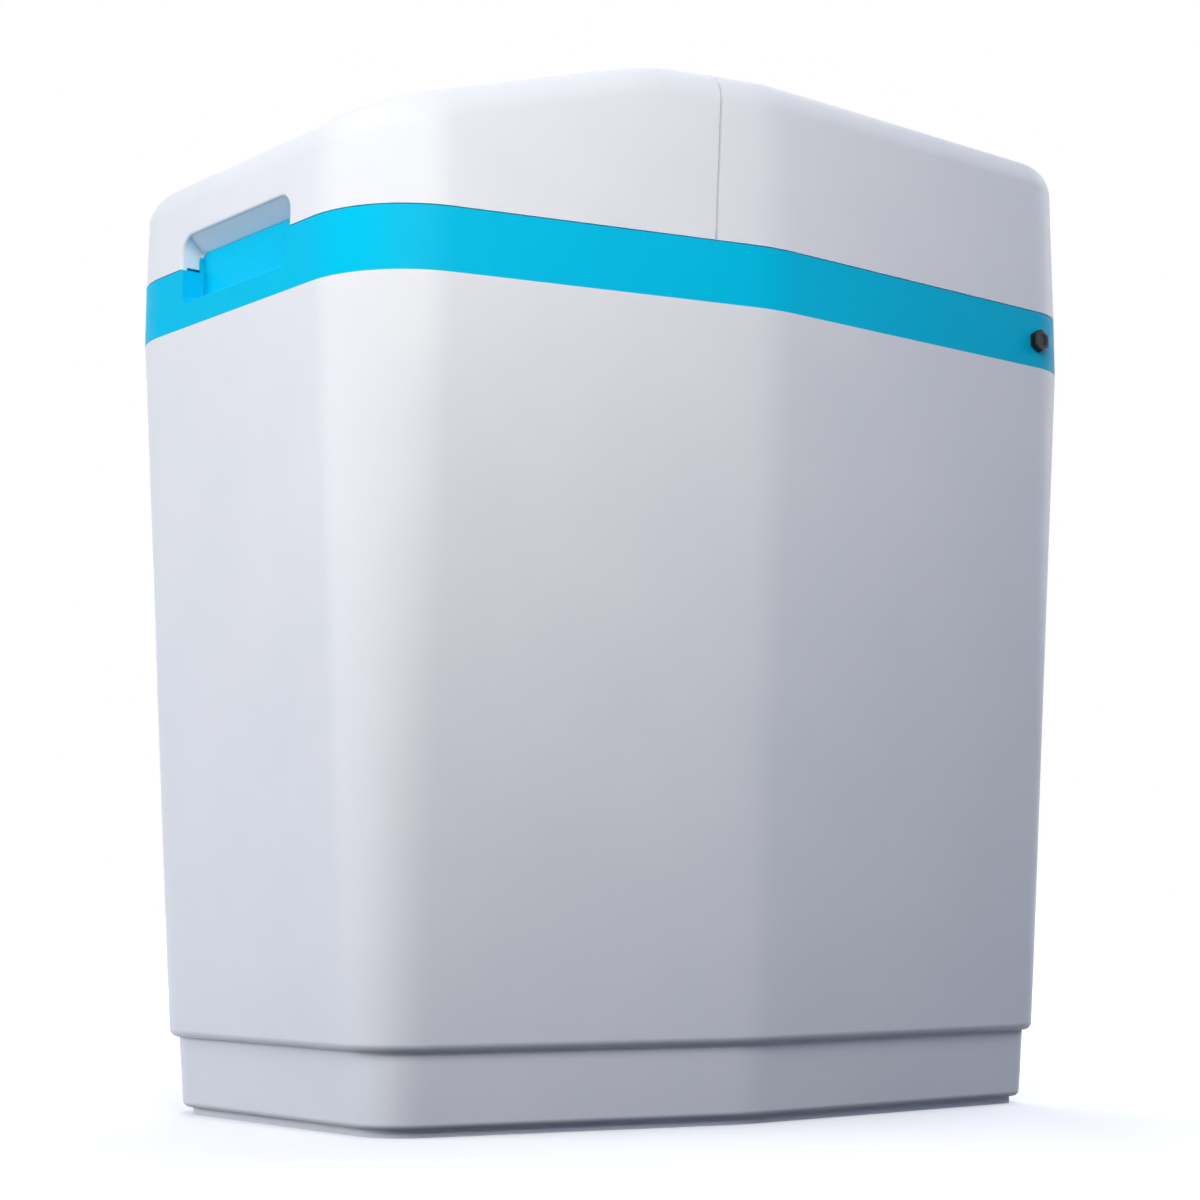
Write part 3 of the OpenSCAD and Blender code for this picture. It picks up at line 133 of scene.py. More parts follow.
@dataclass(frozen=True)
class Finish(ABC):
    """A surface as it looks to the eye, made into a material once."""

    name: str

    @abstractmethod
    def shade(self, tree: NodeTree) -> Node:
        """Builds the surface shader and returns its node."""

    def material(self) -> Material:
        """Builds the material of this finish, or finds it after the first use.

        Returns:
            The material.
        """
        found = bpy.data.materials.get(self.name)
        if found:
            return found
        made = bpy.data.materials.new(self.name)
        made.use_nodes = True
        made.node_tree.nodes.clear()
        shader = self.shade(made.node_tree)
        add_node(made.node_tree, "ShaderNodeOutputMaterial", {"Surface": shader.outputs[0]})
        return made

    def mottle(self, tree: NodeTree, size: float, span: Pair, detail: float = 3.0) -> NodeSocket:
        """Varies a value in cloudy blotches over the piece, in its own frame.

        Args:
            tree: the material's node tree.
            size: size of one blotch, mm.
            span: the lowest and the highest value.
            detail: octaves of finer noise.

        Returns:
            The varied value.
        """
        place = add_node(tree, "ShaderNodeTexCoord").outputs["Object"]
        pattern = {"Vector": place, "Scale": per_mm(size), "Detail": detail}
        noise = add_node(tree, "ShaderNodeTexNoise", pattern).outputs["Fac"]
        reach = {"Value": noise, "From Min": NOISE_LOW, "From Max": NOISE_HIGH, "To Min": span[0],
                 "To Max": span[1]}
        return add_node(tree, "ShaderNodeMapRange", reach).outputs["Result"]

    def clouded(self, tree: NodeTree, size: float, first: str, second: str,
                detail: float = 3.0) -> NodeSocket:
        """Mixes two colours in cloudy blotches.

        Args:
            tree: the material's node tree.
            size: size of one blotch, mm.
            first: hex colour in the hollows of the clouds.
            second: hex colour on their crests.
            detail: octaves of finer noise.

        Returns:
            The mixed colour.
        """
        share = self.mottle(tree, size, (0.0, 1.0), detail)
        inputs = {MIX_FACTOR: share, MIX_A: linear(first), MIX_B: linear(second)}
        return add_node(tree, "ShaderNodeMix", inputs, data_type="RGBA").outputs[MIX_RESULT]

    def bumped(self, tree: NodeTree, size: float, depth: float, detail: float = 3.0,
               under: NodeSocket | None = None) -> NodeSocket:
        """Roughens the skin of the piece with small bumps.

        Args:
            tree: the material's node tree.
            size: size of one bump, mm.
            depth: height of the bumps, mm.
            detail: octaves of finer noise.
            under: a coarser bumped normal that these bumps sit on.

        Returns:
            The bumped normal.
        """
        place = add_node(tree, "ShaderNodeTexCoord").outputs["Object"]
        pattern = {"Vector": place, "Scale": per_mm(size), "Detail": detail}
        height = add_node(tree, "ShaderNodeTexNoise", pattern).outputs["Fac"]
        inputs = {"Height": height, "Distance": depth * MM, "Strength": 1.0}
        if under:
            inputs["Normal"] = under
        return add_node(tree, "ShaderNodeBump", inputs).outputs["Normal"]


@dataclass(frozen=True)
class MouldedPlastic(Finish):
    """Injection-moulded plastic: even colour, faint flow clouds, a fine moulded grain.

    The real grain is finer. It is drawn as coarse as it needs to show.
    """

    colour: str = "F1F3F6"
    cloud: str = "ECEFF4"
    roughness: float = 0.38
    spread: float = 0.05
    grain: float = 0.45
    grain_depth: float = 0.004
    wave_depth: float = 0.003
    gloss: float = 0.5
    cloud_size: float = 70.0
    gloss_size: float = 14.0
    wave_size: float = 22.0

    def shade(self, tree: NodeTree) -> Node:
        """Clouds the colour, varies the gloss and lays grain over slow waves.

        Args:
            tree: the material's node tree.

        Returns:
            The surface shader.
        """
        colour = self.clouded(tree, self.cloud_size, self.colour, self.cloud, detail=4.0)
        span = (self.roughness - self.spread, self.roughness + self.spread)
        rough = self.mottle(tree, self.gloss_size, span)
        waves = self.bumped(tree, self.wave_size, self.wave_depth, detail=1.0)
        grain = self.bumped(tree, self.grain, self.grain_depth, detail=2.0, under=waves)
        inputs = {"Base Color": colour, "Roughness": rough, "Specular IOR Level": self.gloss, "Normal": grain}
        return add_node(tree, "ShaderNodeBsdfPrincipled", inputs)


@dataclass(frozen=True)
class SoftRubber(Finish):
    """Moulded rubber: dull, with a dusty bloom and a soft pebble grain."""

    colour: str = "24262A"
    bloom: str = "34373C"
    bloom_size: float = 9.0
    dull: Pair = (0.6, 0.8)
    dull_size: float = 4.0
    pebble: float = 0.6
    pebble_depth: float = 0.012
    ior: float = 1.45

    def shade(self, tree: NodeTree) -> Node:
        """Mixes the bloom over the rubber and pebbles the skin.

        Args:
            tree: the material's node tree.

        Returns:
            The surface shader.
        """
        colour = self.clouded(tree, self.bloom_size, self.colour, self.bloom, detail=5.0)
        rough = self.mottle(tree, self.dull_size, self.dull)
        skin = self.bumped(tree, self.pebble, self.pebble_depth)
        inputs = {"Base Color": colour, "Roughness": rough, "IOR": self.ior, "Normal": skin}
        return add_node(tree, "ShaderNodeBsdfPrincipled", inputs)


@dataclass(frozen=True)
class PlatedSteel(Finish):
    """Zinc-plated steel: bright grey with fine turning marks and cloudy plating."""

    colour: str = "C3C6CA"
    cloud: str = "A9ADB4"
    cloud_size: float = 3.0
    polish: Pair = (0.24, 0.4)
    polish_size: float = 1.2
    mark: float = 0.15
    mark_depth: float = 0.002

    def shade(self, tree: NodeTree) -> Node:
        """Clouds the plating and draws fine turning marks.

        Args:
            tree: the material's node tree.

        Returns:
            The surface shader.
        """
        colour = self.clouded(tree, self.cloud_size, self.colour, self.cloud, detail=4.0)
        rough = self.mottle(tree, self.polish_size, self.polish)
        marks = self.bumped(tree, self.mark, self.mark_depth, detail=2.0)
        inputs = {"Base Color": colour, "Metallic": 1.0, "Roughness": rough, "Normal": marks}
        return add_node(tree, "ShaderNodeBsdfPrincipled", inputs)


@dataclass(frozen=True)
class LappedCeramic(Finish):
    """Lapped ceramic: dense off-white with fine dark specks and a wet polish."""

    colour: str = "E4E1DA"
    speck: str = "CFCBC2"
    speck_size: float = 0.8
    polish: Pair = (0.12, 0.2)
    polish_size: float = 5.0
    ior: float = 1.7

    def shade(self, tree: NodeTree) -> Node:
        """Specks the body and keeps the polish tight.

        Args:
            tree: the material's node tree.

        Returns:
            The surface shader.
        """
        colour = self.clouded(tree, self.speck_size, self.colour, self.speck, detail=5.0)
        rough = self.mottle(tree, self.polish_size, self.polish)
        inputs = {"Base Color": colour, "Roughness": rough, "IOR": self.ior}
        return add_node(tree, "ShaderNodeBsdfPrincipled", inputs)


@dataclass(frozen=True)
class WoundFibre(Finish):
    """Glass fibre wound in resin: strands that cross round the vessel under a glossy skin."""

    colour: str = "C9CDBE"
    strand: str = "B4BAA8"
    axis_y: float = 88.1
    strands: int = 40
    rise: float = 22.0
    line: float = 0.45
    ridge: float = 0.15
    polish: float = 0.3

    def shade(self, tree: NodeTree) -> Node:
        """Winds two sets of strands round the vessel's axis and lays them in a rippled skin.

        Args:
            tree: the material's node tree.

        Returns:
            The surface shader.
        """
        place = add_node(tree, "ShaderNodeTexCoord").outputs["Object"]
        axes = add_node(tree, "ShaderNodeSeparateXYZ", {0: place}).outputs
        inputs = {0: axes["Y"], 1: self.axis_y * MM}
        deep = add_node(tree, "ShaderNodeMath", inputs, operation="SUBTRACT").outputs[0]
        angle = add_node(tree, "ShaderNodeMath", {0: deep, 1: axes["X"]}, operation="ARCTAN2").outputs[0]
        inputs = {0: angle, 1: self.strands}
        round_turn = add_node(tree, "ShaderNodeMath", inputs, operation="MULTIPLY").outputs[0]
        waves = []
        for way in (1, -1):
            inputs = {0: axes["Z"], 1: way * 2 * math.pi * per_mm(self.rise), 2: round_turn}
            phase = add_node(tree, "ShaderNodeMath", inputs, operation="MULTIPLY_ADD").outputs[0]
            wave = add_node(tree, "ShaderNodeMath", {0: phase}, operation="SINE").outputs[0]
            waves.append(add_node(tree, "ShaderNodeMath", {0: wave}, operation="ABSOLUTE").outputs[0])
        weave = add_node(tree, "ShaderNodeMath", {0: waves[0], 1: waves[1]}, operation="MINIMUM").outputs[0]
        inputs = {"Value": weave, "From Min": 0.0, "From Max": self.line}
        share = add_node(tree, "ShaderNodeMapRange", inputs).outputs["Result"]
        inputs = {MIX_FACTOR: share, MIX_A: linear(self.strand), MIX_B: linear(self.colour)}
        colour = add_node(tree, "ShaderNodeMix", inputs, data_type="RGBA").outputs[MIX_RESULT]
        inputs = {"Height": share, "Distance": self.ridge * MM, "Strength": 1.0}
        skin = add_node(tree, "ShaderNodeBump", inputs).outputs["Normal"]
        inputs = {"Base Color": colour, "Roughness": self.polish, "Normal": skin}
        return add_node(tree, "ShaderNodeBsdfPrincipled", inputs)


@dataclass(frozen=True)
class ResinBeads(Finish):
    """A packed bed of amber ion-exchange beads, with painted shade in the gaps between them.

    The real beads are about half a millimetre across. They are drawn as coarse as they need to show.
    """

    colour: str = "A8662A"
    # painted shade: the dark brown that each bead turns towards the gaps, where the bed lies in shade
    deep: str = "6E3B14"
    size: float = 0.9
    height: float = 0.4
    polish: float = 0.25

    def shade(self, tree: NodeTree) -> Node:
        """Packs round beads and darkens each one towards the gaps between them as painted shade.

        Args:
            tree: the material's node tree.

        Returns:
            The surface shader.
        """
        place = add_node(tree, "ShaderNodeTexCoord").outputs["Object"]
        cells = add_node(tree, "ShaderNodeTexVoronoi", {"Vector": place, "Scale": per_mm(self.size)})
        gap = cells.outputs["Distance"]
        # painted shade: the colour goes from the bead's own amber in its middle to the dark brown in the gaps
        inputs = {MIX_FACTOR: gap, MIX_A: linear(self.colour), MIX_B: linear(self.deep)}
        colour = add_node(tree, "ShaderNodeMix", inputs, data_type="RGBA").outputs[MIX_RESULT]
        domes = add_node(tree, "ShaderNodeMath", {0: 1.0, 1: gap}, operation="SUBTRACT").outputs[0]
        inputs = {"Height": domes, "Distance": self.height * MM, "Strength": 1.0}
        beads = add_node(tree, "ShaderNodeBump", inputs).outputs["Normal"]
        inputs = {"Base Color": colour, "Roughness": self.polish, "Normal": beads}
        return add_node(tree, "ShaderNodeBsdfPrincipled", inputs)


@dataclass(frozen=True)
class MilkyTube(Finish):
    """Natural polyethylene: milky, glowing a little from inside, with drawn streaks."""

    colour: str = "E6E9E6"
    streak: str = "DCE0DE"
    glow: float = 0.3
    depth: float = 2.0
    streak_size: float = 5.0
    polish: Pair = (0.25, 0.36)
    polish_size: float = 6.0

    def shade(self, tree: NodeTree) -> Node:
        """Streaks the milk and lets light wander under the skin.

        Args:
            tree: the material's node tree.

        Returns:
            The surface shader.
        """
        colour = self.clouded(tree, self.streak_size, self.colour, self.streak, detail=4.0)
        rough = self.mottle(tree, self.polish_size, self.polish)
        inputs = {"Base Color": colour, "Roughness": rough, "Subsurface Weight": self.glow,
                  "Subsurface Scale": self.depth * MM}
        return add_node(tree, "ShaderNodeBsdfPrincipled", inputs)


@dataclass(frozen=True)
class WindowLens(Finish):
    """Smoked clear plastic over the display: dark, glassy, with faint wipe marks."""

    colour: str = "343B42"
    haze: str = "3C434A"
    haze_size: float = 30.0
    polish: Pair = (0.03, 0.09)
    wipe_size: float = 9.0
    clearness: float = 0.85
    ior: float = 1.49

    def shade(self, tree: NodeTree) -> Node:
        """Tints the lens and smears its polish a little.

        Args:
            tree: the material's node tree.

        Returns:
            The surface shader.
        """
        rough = self.mottle(tree, self.wipe_size, self.polish, detail=5.0)
        colour = self.clouded(tree, self.haze_size, self.colour, self.haze)
        inputs = {"Base Color": colour, "Roughness": rough, "Transmission Weight": self.clearness,
                  "IOR": self.ior}
        return add_node(tree, "ShaderNodeBsdfPrincipled", inputs)


@dataclass(frozen=True)
class LiquidCrystal(Finish):
    """An unlit display: grey-green, with the faint grid of its cells."""

    colour: str = "8E9A88"
    cell: str = "7F8B79"
    pitch: float = 0.8
    polish: float = 0.15

    def shade(self, tree: NodeTree) -> Node:
        """Lays a faint grid of cells over the glass.

        Args:
            tree: the material's node tree.

        Returns:
            The surface shader.
        """
        place = add_node(tree, "ShaderNodeTexCoord").outputs["Object"]
        inputs = {"Vector": place, "Scale": per_mm(self.pitch), "Color1": linear(self.colour),
                  "Color2": linear(self.cell)}
        grid = add_node(tree, "ShaderNodeTexChecker", inputs).outputs["Color"]
        return add_node(tree, "ShaderNodeBsdfPrincipled", {"Base Color": grid, "Roughness": self.polish})


@dataclass(frozen=True)
class CircuitLacquer(Finish):
    """A lacquered circuit board: green with lighter copper runs under the lacquer."""

    colour: str = "1F5A3A"
    run: str = "2F7A50"
    pitch: float = 3.0
    wander: float = 0.7
    run_edge: Pair = (0.3, 0.7)
    run_height: float = 0.03
    polish: float = 0.3

    def shade(self, tree: NodeTree) -> Node:
        """Draws the runs inside a grid of cells and raises them slightly.

        Args:
            tree: the material's node tree.

        Returns:
            The surface shader.
        """
        place = add_node(tree, "ShaderNodeTexCoord").outputs["Object"]
        inputs = {"Vector": place, "Scale": per_mm(self.pitch), "Randomness": self.wander}
        cells = add_node(tree, "ShaderNodeTexVoronoi", inputs, distance="MANHATTAN", feature="F1")
        away = cells.outputs["Distance"]
        inputs = {"Value": away, "From Min": self.run_edge[0], "From Max": self.run_edge[1]}
        share = add_node(tree, "ShaderNodeMapRange", inputs).outputs["Result"]
        inputs = {MIX_FACTOR: share, MIX_A: linear(self.run), MIX_B: linear(self.colour)}
        colour = add_node(tree, "ShaderNodeMix", inputs, data_type="RGBA").outputs[MIX_RESULT]
        inputs = {"Height": away, "Distance": self.run_height * MM, "Strength": 1.0}
        skin = add_node(tree, "ShaderNodeBump", inputs).outputs["Normal"]
        inputs = {"Base Color": colour, "Roughness": self.polish, "Normal": skin}
        return add_node(tree, "ShaderNodeBsdfPrincipled", inputs)


# white ABS shell: clean cool white, satin gloss, soft broad highlights
WHITE_SHELL = MouldedPlastic("white ABS shell", "F0F2F6", "EBEEF3", 0.36)
# bright blue ABS band: saturated cyan blue, calmer in its gloss than the shell
BLUE_BAND = MouldedPlastic("blue ABS band", "03CBF3", "03C7EF", 0.42, gloss=0.05)
# black polyamide: near black, semi-matt
BLACK_PLASTIC = MouldedPlastic("black polyamide", "0E0F11", "131416", 0.38, 0.06, 0.6, 0.004, gloss=0.3)
# grey ABS: neutral mid grey, semi-matt
GREY_PLASTIC = MouldedPlastic("grey ABS", "8D9299", "868B93", 0.42, 0.06, 0.5, 0.005)
# white polypropylene: slightly warm, waxy white
WHITE_PLASTIC = MouldedPlastic("white polypropylene", "E6E7E6", "DFE1E1", 0.46, 0.06, 0.6, 0.006)
# blue polypropylene: dull royal blue of the port clips and the injector cap
BLUE_PLASTIC = MouldedPlastic("blue polypropylene", "2E63A8", "2A5C9E", 0.45)
# silicone buttons: pale grey, dull and soft
BUTTON_RUBBER = SoftRubber("grey silicone rubber", "A6ABB1", "B0B5BA")
# nitrile seals: black with a grey bloom
BLACK_RUBBER = SoftRubber("black nitrile rubber")
# zinc-plated screws, pins and shafts: bright, slightly cloudy metal
STEEL = PlatedSteel("zinc-plated steel")
# alumina discs: polished off-white
CERAMIC = LappedCeramic("alumina ceramic")
# pressure vessel: grey-green strands under clear resin
VESSEL_SHELL = WoundFibre("wound glass fibre")
# resin bed: amber grains with painted shade in the gaps
RESIN_BEADS = ResinBeads("ion-exchange resin")
# brine tube: milky polyethylene
CLEAR_TUBE = MilkyTube("natural polyethylene")
# display lens: smoked acrylic
DISPLAY_GLASS = WindowLens("smoked acrylic")
# display face: unlit liquid crystal
DISPLAY_FACE = LiquidCrystal("liquid crystal glass")
# circuit board: green solder lacquer
CIRCUIT_GREEN = CircuitLacquer("solder lacquer")

SLOT_FINISHES: dict[str, Finish] = {
    "white_shell": WHITE_SHELL, "blue_band": BLUE_BAND, "black_plastic": BLACK_PLASTIC,
    "black_rubber": BLACK_RUBBER, "button_rubber": BUTTON_RUBBER, "grey_plastic": GREY_PLASTIC,
    "vessel_shell": VESSEL_SHELL, "white_plastic": WHITE_PLASTIC, "clear_tube": CLEAR_TUBE,
    "blue_plastic": BLUE_PLASTIC, "ceramic": CERAMIC, "steel": STEEL, "display_glass": DISPLAY_GLASS,
    "display_face": DISPLAY_FACE, "circuit_green": CIRCUIT_GREEN, "resin_beads": RESIN_BEADS,
}


# Modelling, in millimetres


def slot_of(node: str) -> str:
    """Returns the material slot that the record gives a CAD node."""
    return next(part["material_slot"] for part in frame["record"]["subparts"] if part["node"] == node)


def body_of(node: str) -> str:
    """Returns the moving body that a CAD node belongs to."""
    groups = frame["record"]["behaviour"]["bodies"]
    return next(name for name, members in groups.items() if node in members)


def combine(base: BMesh, tool: BMesh, how: Combine) -> None:
    """Joins a closed mesh to another, or cuts it out of it.

    Args:
        base: the mesh that is changed.
        tool: the mesh that is added or cut away; it is used up.
        how: add or cut.
    """
    made = []
    for label, source in (("base", base), ("tool", tool)):
        bmesh.ops.recalc_face_normals(source, faces=source.faces)
        mesh = bpy.data.meshes.new(label)
        source.to_mesh(mesh)
        made.append(bpy.data.objects.new(label, mesh))
        bpy.context.scene.collection.objects.link(made[-1])
    step = made[0].modifiers.new("combine", "BOOLEAN")
    step.operation = how.value
    step.solver = "EXACT"
    step.object = made[1]
    seen = made[0].evaluated_get(bpy.context.evaluated_depsgraph_get())
    result = bpy.data.meshes.new_from_object(seen)
    base.clear()
    base.from_mesh(result)
    tool.free()
    for thing in made:
        mesh = thing.data
        bpy.data.objects.remove(thing)
        bpy.data.meshes.remove(mesh)
    bpy.data.meshes.remove(result)


def cut_flat(bm: BMesh, spot: Sequence[float], way: Vector, keep_ahead: bool) -> None:
    """Cuts a closed mesh along a plane and closes the cut.

    Args:
        bm: the mesh.
        spot: a point of the plane, mm.
        way: the normal of the plane.
        keep_ahead: keep what lies ahead along the normal, else what lies behind it.
    """
    cut = bmesh.ops.bisect_plane(bm, geom=bm.verts[:] + bm.edges[:] + bm.faces[:], dist=FINE, plane_co=spot,
                                 plane_no=way, clear_outer=not keep_ahead, clear_inner=keep_ahead)
    bmesh.ops.edgeloop_fill(bm, edges=[g for g in cut["geom_cut"] if isinstance(g, BMEdge)])
    bmesh.ops.recalc_face_normals(bm, faces=bm.faces)


def draw_out(bm: BMesh, path: Vector) -> BMesh:
    """Draws a flat outline out into a closed bar.

    Args:
        bm: the outline, with its face.
        path: how far and which way it is drawn, mm.

    Returns:
        The same mesh, now a closed bar.
    """
    grown = bmesh.ops.extrude_face_region(bm, geom=bm.faces[:] + bm.edges[:] + bm.verts[:])
    bmesh.ops.translate(bm, vec=path, verts=[g for g in grown["geom"] if isinstance(g, BMVert)])
    bmesh.ops.recalc_face_normals(bm, faces=bm.faces)
    return bm


def soften(bm: BMesh, edges: Iterable[BMEdge], radius: float, segments: int = 5) -> None:
    """Rounds some edges of a mesh by a radius in mm."""
    bmesh.ops.bevel(bm, geom=list(edges), offset=radius, offset_type="OFFSET", segments=segments, profile=0.5,
                    affect="EDGES", clamp_overlap=True, material=-1)


def scatter(bm: BMesh, places: Iterable[Matrix]) -> BMesh:
    """Repeats a mesh at each place and drops the first one.

    Args:
        bm: the mesh that is repeated.
        places: where each copy goes.

    Returns:
        The same mesh, now the copies.
    """
    pattern = bm.verts[:] + bm.edges[:] + bm.faces[:]
    first = bm.verts[:]
    for place in places:
        copy = bmesh.ops.duplicate(bm, geom=pattern)["geom"]
        bmesh.ops.transform(bm, matrix=place, verts=[g for g in copy if isinstance(g, BMVert)])
    bmesh.ops.delete(bm, geom=first, context="VERTS")
    return bm


def block(low: Sequence[float], high: Sequence[float]) -> BMesh:
    """Makes a closed box between two corners.

    Args:
        low: the corner with the lowest x, y and z, mm.
        high: the opposite corner, mm.

    Returns:
        The closed box.
    """
    bm = bmesh.new()
    low, high = Vector(low), Vector(high)
    shape = Matrix.Translation((low + high) / 2) @ Matrix.Diagonal((*(high - low), 1.0))
    bmesh.ops.create_cube(bm, size=1.0, matrix=shape)
    return bm


def lathe(profile: Sequence[Pair], place: Sequence[float], axis: Axis, steps: int = 64) -> BMesh:
    """Turns a profile of radii and heights round an axis.

    Args:
        profile: (radius, height) pairs, mm; it starts and ends on the axis or at the same point.
        place: the point on the axis from which heights are measured, mm.
        axis: the axis it is turned round.
        steps: faces round the axis.

    Returns:
        The closed mesh.
    """
    bm = bmesh.new()
    points = [bm.verts.new((radius, 0.0, height)) for radius, height in profile]
    for first, second in zip(points, points[1:]):
        bm.edges.new((first, second))
    bmesh.ops.spin(bm, geom=bm.verts[:] + bm.edges[:], cent=(0, 0, 0), axis=Z, angle=2 * math.pi, steps=steps,
                   use_merge=True)
    bmesh.ops.remove_doubles(bm, verts=bm.verts, dist=FINE)
    bmesh.ops.transform(bm, matrix=Matrix.Translation(place) @ axis.value, verts=bm.verts)
    bmesh.ops.recalc_face_normals(bm, faces=bm.faces)
    return bm


def rod(radius: float, run: Pair, place: Sequence[float], axis: Axis, steps: int = 48) -> BMesh:
    """Makes a plain closed rod, mostly for cutting bores."""
    low, high = run
    return lathe([(0.0, low), (radius, low), (radius, high), (0.0, high)], place, axis, steps)


def bar(outline: Sequence[Pair], run: Pair) -> BMesh:
    """Makes a closed bar along X from its outline in Y and Z.

    Args:
        outline: its corners in order, as y and z, mm.
        run: the x at which it starts and ends, mm.

    Returns:
        The closed bar.
    """
    bm = bmesh.new()
    corners = [bm.verts.new((run[0], y, z)) for y, z in outline]
    edges = [bm.edges.new(pair) for pair in zip(corners, corners[1:] + corners[:1])]
    bmesh.ops.edgeloop_fill(bm, edges=edges)
    return draw_out(bm, X * (run[1] - run[0]))


def arch(width: float, rise: Pair, radius: float, depth: Pair, round_top: bool = True,
         segments: int = 10) -> BMesh:
    """Makes an upright opening with two round corners, run along Y.

    Args:
        width: across X, mm.
        rise: the Z of its lower and upper edge, mm.
        radius: of the round corners, mm.
        depth: the Y at which it starts and ends, mm.
        round_top: the upper corners are round, else the lower ones.
        segments: faces round a corner.

    Returns:
        The closed mesh.
    """
    bm = bmesh.new()
    low, high = rise
    middle = (low + high) / 2
    shape = Matrix.Translation((0, depth[0], middle)) @ Matrix.Rotation(QUARTER, 4, "X")
    shape = shape @ Matrix.Diagonal((width, high - low, 1.0, 1.0))
    bmesh.ops.create_grid(bm, x_segments=1, y_segments=1, size=0.5, matrix=shape)
    corners = [v for v in bm.verts if (v.co.z > middle) == round_top]
    bmesh.ops.bevel(bm, geom=corners, offset=radius, offset_type="OFFSET", segments=segments, profile=0.5,
                    affect="VERTICES", clamp_overlap=True, material=-1)
    return draw_out(bm, Y * (depth[1] - depth[0]))


@dataclass
class Piece:
    """A finished piece: its mesh in mm, the CAD nodes it stands for and its edge rounding."""

    name: str
    mesh: BMesh
    nodes: tuple[str, ...]
    edge: float = 0.6
    edge_segments: int = 2
    sharp: float = math.radians(35.0)

    def place(self) -> Object:
        """Turns the mesh into an object in metres, rounds its edges and hangs it in the frame.

        Returns:
            The finished object.
        """
        bm = self.mesh
        bmesh.ops.remove_doubles(bm, verts=bm.verts, dist=MERGE)
        bmesh.ops.dissolve_degenerate(bm, edges=bm.edges, dist=MERGE)
        bmesh.ops.recalc_face_normals(bm, faces=bm.faces)
        for face in bm.faces:
            face.smooth = True
        for edge in bm.edges:
            edge.smooth = edge.calc_face_angle(0.0) < self.sharp
        bmesh.ops.scale(bm, vec=Vector((MM, MM, MM)), verts=bm.verts)
        mesh = bpy.data.meshes.new(self.name)
        bm.to_mesh(mesh)
        bm.free()
        made = bpy.data.objects.new(self.name, mesh)
        bpy.context.scene.collection.objects.link(made)
        slot = slot_of(self.nodes[0])
        mesh.materials.append(SLOT_FINISHES[slot].material())
        self.smooth(made)
        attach(made, body_of(self.nodes[0]))
        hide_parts(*self.nodes)
        return made

    def smooth(self, made: Object) -> None:
        """Rounds the sharp edges of the finished object and evens out its shading.

        Args:
            made: the object of this piece.
        """
        if self.edge > 0:
            rounding = made.modifiers.new("edges", "BEVEL")
            rounding.width = self.edge * MM
            rounding.segments = self.edge_segments
            rounding.limit_method = "ANGLE"
            rounding.angle_limit = self.sharp
            rounding.use_clamp_overlap = True
        weigh = made.modifiers.new("normals", "WEIGHTED_NORMAL")
        weigh.keep_sharp = True


@dataclass(frozen=True)
class Step:
    """One ring of a shell: how far inside the outline it runs and how high.

    With on_roof set, the height is measured down from the roof of the lid.
    """

    inset: float
    height: float
    on_roof: bool = False
    round: float = 0.0


@dataclass(frozen=True)
class Roof:
    """The top of the lid: flat at the back, rolling over a soft ridge into a slope."""

    top: float = 532.0
    ridge: float = -78.0
    slope: float = math.radians(15.0)
    roll: float = 120.0

    def height(self, y: float) -> float:
        """Follows the roof from the flat over the ridge down the slope.

        Args:
            y: the depth, mm.

        Returns:
            The height of the outer surface, mm.
        """
        reach = self.roll * math.tan(self.slope / 2)
        run = self.ridge + reach - y
        if run <= 0:
            return self.top
        if run < self.roll * math.sin(self.slope):
            return self.top - self.roll + math.sqrt(self.roll ** 2 - run ** 2)
        return self.top - (self.ridge - y) * math.tan(self.slope)


@dataclass(frozen=True)
class Corner:
    """One round corner of the outline: where it turns, how tightly and how far."""

    centre: Vector
    radius: float
    start: float
    sweep: float
    steps: int

    def mirrored(self) -> "Corner":
        """Returns the same corner on the other side, still turning anticlockwise."""
        centre = Vector((-self.centre.x, self.centre.y, 0))
        return Corner(centre, self.radius, math.pi - self.start - self.sweep, self.sweep, self.steps)


